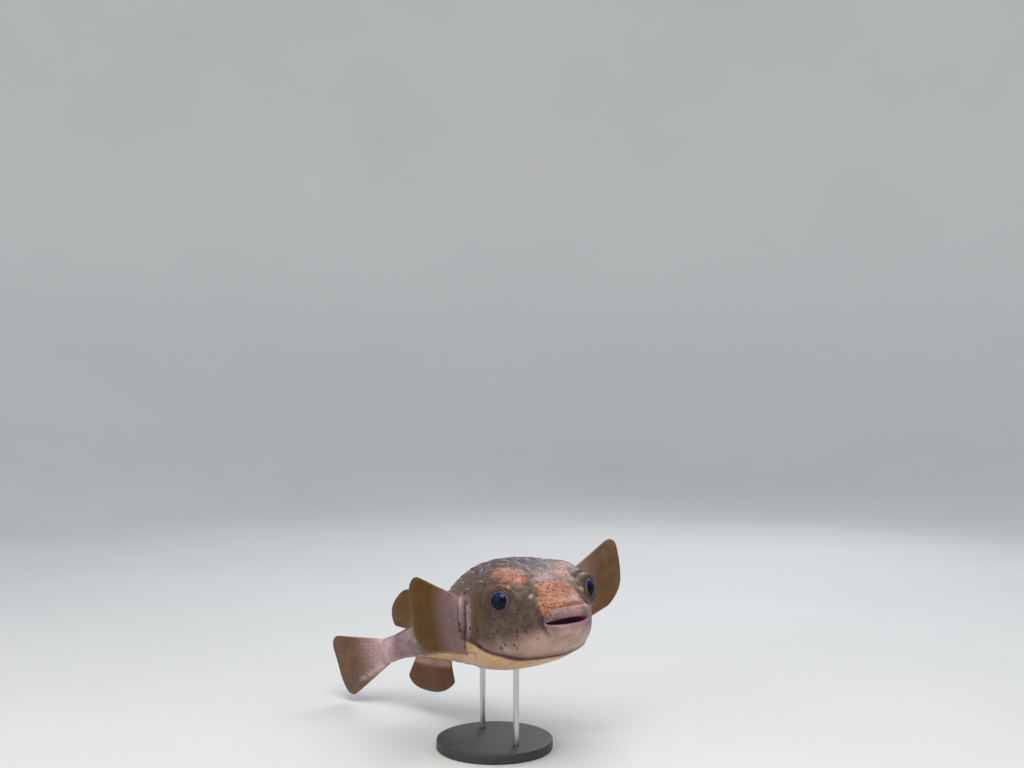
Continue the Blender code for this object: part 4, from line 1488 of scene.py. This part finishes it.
@dataclass
class Fin:
    """A fin of branching rays that fan out from a base line, thick at the root and thin at the edge."""

    name: str
    body: BodyForm
    pose: Pose
    base: Array
    leans: tuple
    reaches: tuple
    place: float
    side: int
    rays: int
    root_thickness: float = 0.0050
    edge_thickness: float = 0.0009
    pale_rays: float = 0.0
    flare: float = 0.0050
    flare_lead: float = 0.0
    flare_reach: float = 0.0085
    buried: float = 0.020
    under: float = 0.024
    cup: float = 0.05
    corner_span: float = 0.24
    corner_loss: float = 0.17
    scallop: float = 0.0045
    ripple: float = 0.0011
    columns: int = 176
    rows: int = 56

    def sheet(self, share: Array, out: Array) -> tuple[Array, Array, Array]:
        """Middle surface of the fin, the direction across it and the way past the body's skin.

        Args:
            share: From the first ray to the last.
            out: From the root to the edge.

        Returns:
            Points, the unit direction across the web, and the distance outside the body at each point.
        """
        left, back, upward = self.body.axes(self.place)
        ways = [unit(left * self.side * a + back * b + upward * c) for a, b, c in self.leans]
        across = unit(np.cross(ways[0], ways[1]))
        spread = math.acos(float(np.clip(ways[0] @ ways[1], -1, 1)))
        length = curve_through(np.linspace(0, 1, len(self.reaches)), np.array(self.reaches))
        corner = np.clip(1 - np.minimum(share, 1 - share) / self.corner_span, 0, 1)
        loss = self.corner_loss * (1 - np.sqrt(1 - corner**2.4))
        reach = (length(share) * (1 - loss) + self.buried) * self.body.standard_length
        scallop = 1 - self.scallop * np.abs(np.sin(np.pi * share * self.rays)) ** 0.5 * ease(out, 0.7, 1.0)
        first, last = np.sin((1 - share) * spread)[..., None], np.sin(share * spread)[..., None]
        way = (first * ways[0] + last * ways[1]) / math.sin(spread)
        bow = self.side * self.cup * reach * (out**2 - out)
        base = self.base[0] + (self.base[1] - self.base[0]) * share[..., None]
        ripple = self.ripple * np.sin(share * 9.5 + out * 2.2) * out**1.5
        gone = reach * out * scallop
        points = base + way * gone[..., None] + across * (bow + ripple)[..., None]
        return points, across, gone - self.under * self.body.standard_length

    def build(self, material: bpy.types.Material) -> bpy.types.Object:
        """Makes the fin as a closed mesh.

        Args:
            material: Its finish.

        Returns:
            The object.
        """
        shares = crowded(0, 1, self.columns + 1, lambda at: 1 + 5 * bell(np.minimum(at, 1 - at), 0, 0.010))
        share, out = np.meshgrid(shares, np.linspace(0.03, 1, self.rows + 1), indexing="ij")
        points, across, past = self.sheet(share, out)
        from_end = np.minimum(share, 1 - share)
        split = ease(out, 0.45, 0.65)
        one, two = (np.abs(np.cos(times * np.pi * share * self.rays)) ** 4 for times in (1, 2))
        ray = np.where(from_end < 0.004, 0.6, one * (1 - split) + two * split * 0.8)
        thick = self.edge_thickness + (self.root_thickness - self.edge_thickness) * (1 - out) ** 1.7
        thick = thick + 0.0004 * ray * (1 - 0.6 * out)
        flesh = bell(np.clip(past + self.flare_lead, 0, None), 0, self.flare_reach)
        thick = thick + self.flare * flesh * np.sqrt(np.clip(1 - (2 * share - 1) ** 2, 0, 1))
        thick = thick * ease(from_end, -0.012, 0.022) * (0.45 + 0.55 * ease(out, 1.0, 0.97))
        shift = across * np.maximum(thick, 0.0005)[..., None] / 2
        front, rear = np.arange(2 * share.size).reshape(2, *share.shape)
        loop, other = (np.concatenate([n[:, 0], n[-1, 1:], n[-2::-1, -1], n[0, -2:0:-1]]) for n in (front, rear))
        faces = quads(front.T) + quads(rear.T[::-1]) + quads(closed(np.stack([loop, other]))[:, ::-1])
        both = np.concatenate([(points + shift).reshape(-1, 3), (points - shift).reshape(-1, 3)])
        obj = mesh_object(self.name, self.pose.place(both), faces)
        face_outwards(obj)
        masks = {
            "fin_out": out,
            "fin_ray": ray,
            "fin_flesh": flesh,
            "fin_pale": self.pale_rays * bell(share, 0.86, 0.06) * ease(out, 0.85, 0.45),
            # Where the painted rim light falls: along the first and last rays, towards the edge.
            "fin_rim": ease(from_end, 0.040, 0.004) * ease(out, 0.95, 0.60),
        }
        store_masks(obj, {name: np.tile(values.ravel(), 2) for name, values in masks.items()})
        places = np.stack([out.ravel(), share.ravel(), np.zeros(share.size)], -1)
        store_masks(obj, {"fin_place": np.tile(places, (2, 1))})
        obj.data.materials.append(material)
        return obj


@dataclass
class Fins:
    """All five fins, each on its own base line."""

    body: BodyForm
    pose: Pose
    buried: float = 0.020
    pectoral_base: tuple = ((0.348, 0.066), (0.366, -0.084))
    pectoral_reaches: tuple = (0.206, 0.213, 0.218, 0.216, 0.198)
    pectoral_leans: tuple = (
        (Side.RIGHT, ((0.90, -0.50, 0.42), (0.93, -0.50, 0.20))),
        (Side.LEFT, ((1.00, -0.45, 0.70), (1.00, -0.45, 0.50))),
    )
    dorsal_span: tuple = (0.745, 0.850)
    dorsal_reaches: tuple = (0.106, 0.128, 0.126, 0.108, 0.078)
    dorsal_leans: tuple = ((0, 0.55, 0.80), (0, 1.00, 0.42))
    anal_span: tuple = (0.715, 0.850)
    anal_reaches: tuple = (0.072, 0.092, 0.100, 0.098, 0.080)
    anal_leans: tuple = ((0, 0.12, -1.00), (0, 1.00, -0.90))
    caudal: tuple = (0.990, 0.033, -0.037)
    caudal_reaches: tuple = (0.204, 0.198, 0.190, 0.190, 0.192)
    caudal_leans: tuple = ((0, 1.00, 0.40), (0, 1.00, -0.27))

    def all(self) -> Iterable[Fin]:
        """The fins, named for the frame's nodes."""
        body, pose = self.body, self.pose
        for side, leans in self.pectoral_leans:
            base = [
                body.point(p, side.value * (body.flank(p, up) - self.buried), up) for p, up in self.pectoral_base
            ]
            name, place = "pectoral_web_" + side.word, self.pectoral_base[0][0]
            shape = {"rays": 22, "flare": 0.0100, "flare_reach": 0.0140}
            yield Fin(name, body, pose, np.array(base), leans, self.pectoral_reaches, place, side.value, **shape)
        for name, span, sign, reaches, leans in (
            ("dorsal_web", self.dorsal_span, 1, self.dorsal_reaches, self.dorsal_leans),
            ("anal_web", self.anal_span, -1, self.anal_reaches, self.anal_leans),
        ):
            base = [body.point(p, 0, sign * (float(body.tall(p, sign > 0)) - self.buried)) for p in span]
            yield Fin(name, body, pose, np.array(base), leans, reaches, sum(span) / 2, 1, rays=14)
        place, *ends = self.caudal
        base = [body.point(place - self.buried, 0, up) for up in ends]
        shape = {"rays": 10, "pale_rays": 0.8, "corner_loss": 0.19, "under": 0.030}
        shape |= {"flare": 0.0110, "flare_lead": 0.0142, "flare_reach": 0.018}
        leans, reaches = self.caudal_leans, self.caudal_reaches
        yield Fin("caudal_web", body, pose, np.array(base), leans, reaches, 1.0, 1, **shape)


@dataclass
class Studio:
    """A pale round floor that rises to a backdrop, soft lights and the camera."""

    floor_radius: float = 2.6
    wall_radius: float = 4.4
    wall_height: float = 2.4
    segments: int = 96
    floor_paper: Colour = (0.56, 0.56, 0.56)
    wall_paper: Colour = (0.78, 0.775, 0.76)
    cloud: Colour = (0.66, 0.66, 0.65)
    aim: tuple[float, float, float] = (0.0, 0.0, 0.17)
    lamps: tuple = (
        ("key_light", (-0.5, -1.1, 2.1), 1.3, 44.0, (1.0, 0.97, 0.93)),
        ("fill_light", (-2.0, -0.6, 0.9), 1.6, 9.0, (0.90, 0.95, 1.0)),
        ("rim_light", (1.4, 1.4, 1.6), 1.2, 16.0, (0.92, 0.96, 1.0)),
    )
    lens: float = 42.19
    camera_place: tuple[float, float, float] = (-0.6183, -1.3039, 0.4364)
    camera_turn: float = math.radians(-26.2)

    def backdrop(self) -> bpy.types.Object:
        """A bowl: flat floor, a wide bend and a wall."""
        bend = self.wall_radius - self.floor_radius
        profile = [(0.5, 0.0), (1.2, 0.0), (self.floor_radius, 0.0)]
        rising = np.radians(np.arange(6, 91, 6))
        profile += [(self.floor_radius + bend * math.sin(a), bend * (1 - math.cos(a))) for a in rising]
        profile.append((self.wall_radius, self.wall_height + bend))
        radius, height = np.array(profile).T[..., None]
        turns = np.arange(self.segments) / self.segments * 2 * np.pi
        rings = np.stack([radius * np.cos(turns), radius * np.sin(turns), height + 0 * turns], -1)
        numbers = closed(1 + np.arange(radius.size * self.segments).reshape(-1, self.segments))
        faces = [[0, a, b] for a, b in zip(numbers[0, :-1].tolist(), numbers[0, 1:].tolist())] + quads(numbers.T)
        obj = mesh_object("studio_floor", np.concatenate([np.zeros((1, 3)), rings.reshape(-1, 3)]), faces)
        material, sheet, shader, where = new_material("studio_paper", Roughness=0.85)
        split = sheet.node("SeparateXYZ")
        sheet.feed(split.inputs[0], where)
        paper = sheet.mix(sheet.rise(split.outputs["Z"], 0.0, 1.6), self.floor_paper, self.wall_paper)
        paper = sheet.mix(sheet.noise(where, 1.3, 3.0), paper, self.cloud)
        sheet.feed(shader.inputs["Base Color"], paper)
        obj.data.materials.append(material)
        return obj

    def light(self, name: str, place: tuple, size: float, power: float, colour: Colour) -> None:
        """Adds a square soft light that shines on the fish."""
        lamp = bpy.data.lights.new(name, "AREA")
        lamp.shape, lamp.size, lamp.energy, lamp.color = "SQUARE", size, power, colour
        obj = add_object(name, lamp)
        obj.location = place
        obj.rotation_euler = (Vector(self.aim) - Vector(place)).to_track_quat("-Z", "Y").to_euler()

    def build(self) -> None:
        """Makes the floor, lights, sky and camera."""
        self.backdrop()
        for lamp in self.lamps:
            self.light(*lamp)
        world = bpy.data.worlds.new("studio_air")
        world.use_nodes = True
        sky = world.node_tree.nodes["Background"]
        sky.inputs["Color"].default_value = (0.88, 0.93, 1.0, 1)
        sky.inputs["Strength"].default_value = 0.75
        bpy.context.scene.world = world
        lens = bpy.data.cameras.new("camera")
        lens.lens, lens.sensor_width, lens.clip_start, lens.clip_end = self.lens, 36.0, 0.01, 60.0
        camera = add_object("camera", lens)
        camera.location = self.camera_place
        camera.rotation_euler = (math.pi / 2, 0, self.camera_turn)
        bpy.context.scene.camera = camera
        bpy.context.scene.view_settings.view_transform = "Standard"


@dataclass
class Stand:
    """The painted plate and the two steel rods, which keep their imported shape."""

    plate: MetalFinish = MetalFinish(
        "plate_paint", (0.030, 0.031, 0.034), 0.0, (0.42, 0.56), (900, 900, 900), bump=0.00008
    )
    rod: MetalFinish = MetalFinish(
        "rod_steel", (0.56, 0.57, 0.59), 1.0, (0.24, 0.38), (1500, 1500, 40), bump=0.00004
    )
    sharp_angle: float = math.radians(25)

    def dress(self) -> None:
        """Gives the frame's own nodes their finishes."""
        plate, rod = self.plate.build(), self.rod.build()
        for name, material in (("stand_base", plate), ("stand_rod_front", rod), ("stand_rod_rear", rod)):
            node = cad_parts[name]
            node.data.materials.clear()
            node.data.materials.append(material)
            node.data.shade_smooth()
            node.data.set_sharp_from_angle(angle=self.sharp_angle)


FIN_NODES = {
    "pectoral_web_right": "pectoral_fin_right",
    "pectoral_web_left": "pectoral_fin_left",
    "dorsal_web": "dorsal_fin",
    "anal_web": "anal_fin",
    "caudal_web": "caudal_fin",
}
FIN_LOOKS = (
    FinFinish(
        name="pectoral_leather",
        root=(0.245, 0.165, 0.175),
        web=(0.080, 0.040, 0.013),
        root_reach=(0.32, 0.74),
        flesh=(0.34, 0.215, 0.220),
        painted_rim_light=0.85,
    ),
    FinFinish(
        name="dorsal_leather",
        root=(0.15, 0.086, 0.060),
        web=(0.080, 0.037, 0.008),
        root_reach=(0.14, 0.50),
        flesh=(0.13, 0.080, 0.078),
    ),
    FinFinish(
        name="anal_leather",
        root=(0.21, 0.105, 0.082),
        web=(0.075, 0.026, 0.009),
        root_reach=(0.14, 0.50),
        flesh=(0.34, 0.200, 0.150),
    ),
    FinFinish(
        name="caudal_leather",
        root=(0.43, 0.27, 0.28),
        web=(0.098, 0.052, 0.028),
        root_reach=(0.16, 0.66),
        flesh=(0.50, 0.345, 0.350),
        spots=0.6,
        painted_rim_light=0.5,
    ),
)
FLESH_NODES = ("head", "upper_lip", "lower_lip", "trunk", "tail_stalk", "nostril_left", "nostril_right")


def settle(obj: bpy.types.Object, slot: str, *nodes: str) -> None:
    """Rides a finished piece on the one body, hides the frame's nodes that it replaces, and logs its face count."""
    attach(obj, "root")
    if nodes:
        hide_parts(*nodes)
    log.info("%s: %d faces", obj.name, len(obj.data.polygons))


def main() -> None:
    """Builds the model piece by piece, then the studio."""
    logging.basicConfig(level=logging.INFO, format="%(message)s")
    body, pose, mouth = BodyForm(), Pose(), Mouth()
    eyes = {
        Side.RIGHT: EyeSet(body, Side.RIGHT, math.radians(44)),
        Side.LEFT: EyeSet(body, Side.LEFT, math.radians(32), collar=math.radians(53), window=(0.074, 0.196)),
    }
    markings = Markings(body, eyes)
    coat = SpineCoat(body, markings, pose)
    colours, grain = markings_group(Palette()), grain_group()
    spots = bpy.data.node_groups["spots"]
    skin = Skin(body, mouth, eyes, markings, coat, pose)
    settle(skin.build(SkinFinish().build(colours, grain)), "skin", *FLESH_NODES)
    settle(coat.build(SpineFinish().build(colours)), "skin")
    glassy = EyeFinish().build()
    for side, eye in eyes.items():
        settle(Eyeball(eye, pose).build(glassy), "eye", "eye_" + side.word)
    finishes = {look.name.split("_")[0]: look.build(spots, grain) for look in FIN_LOOKS}
    for fin in Fins(body, pose).all():
        settle(fin.build(finishes[fin.name.split("_")[0]]), "fin", FIN_NODES[fin.name])
    Stand().dress()
    Studio().build()


if __name__ == "__main__":
    main()
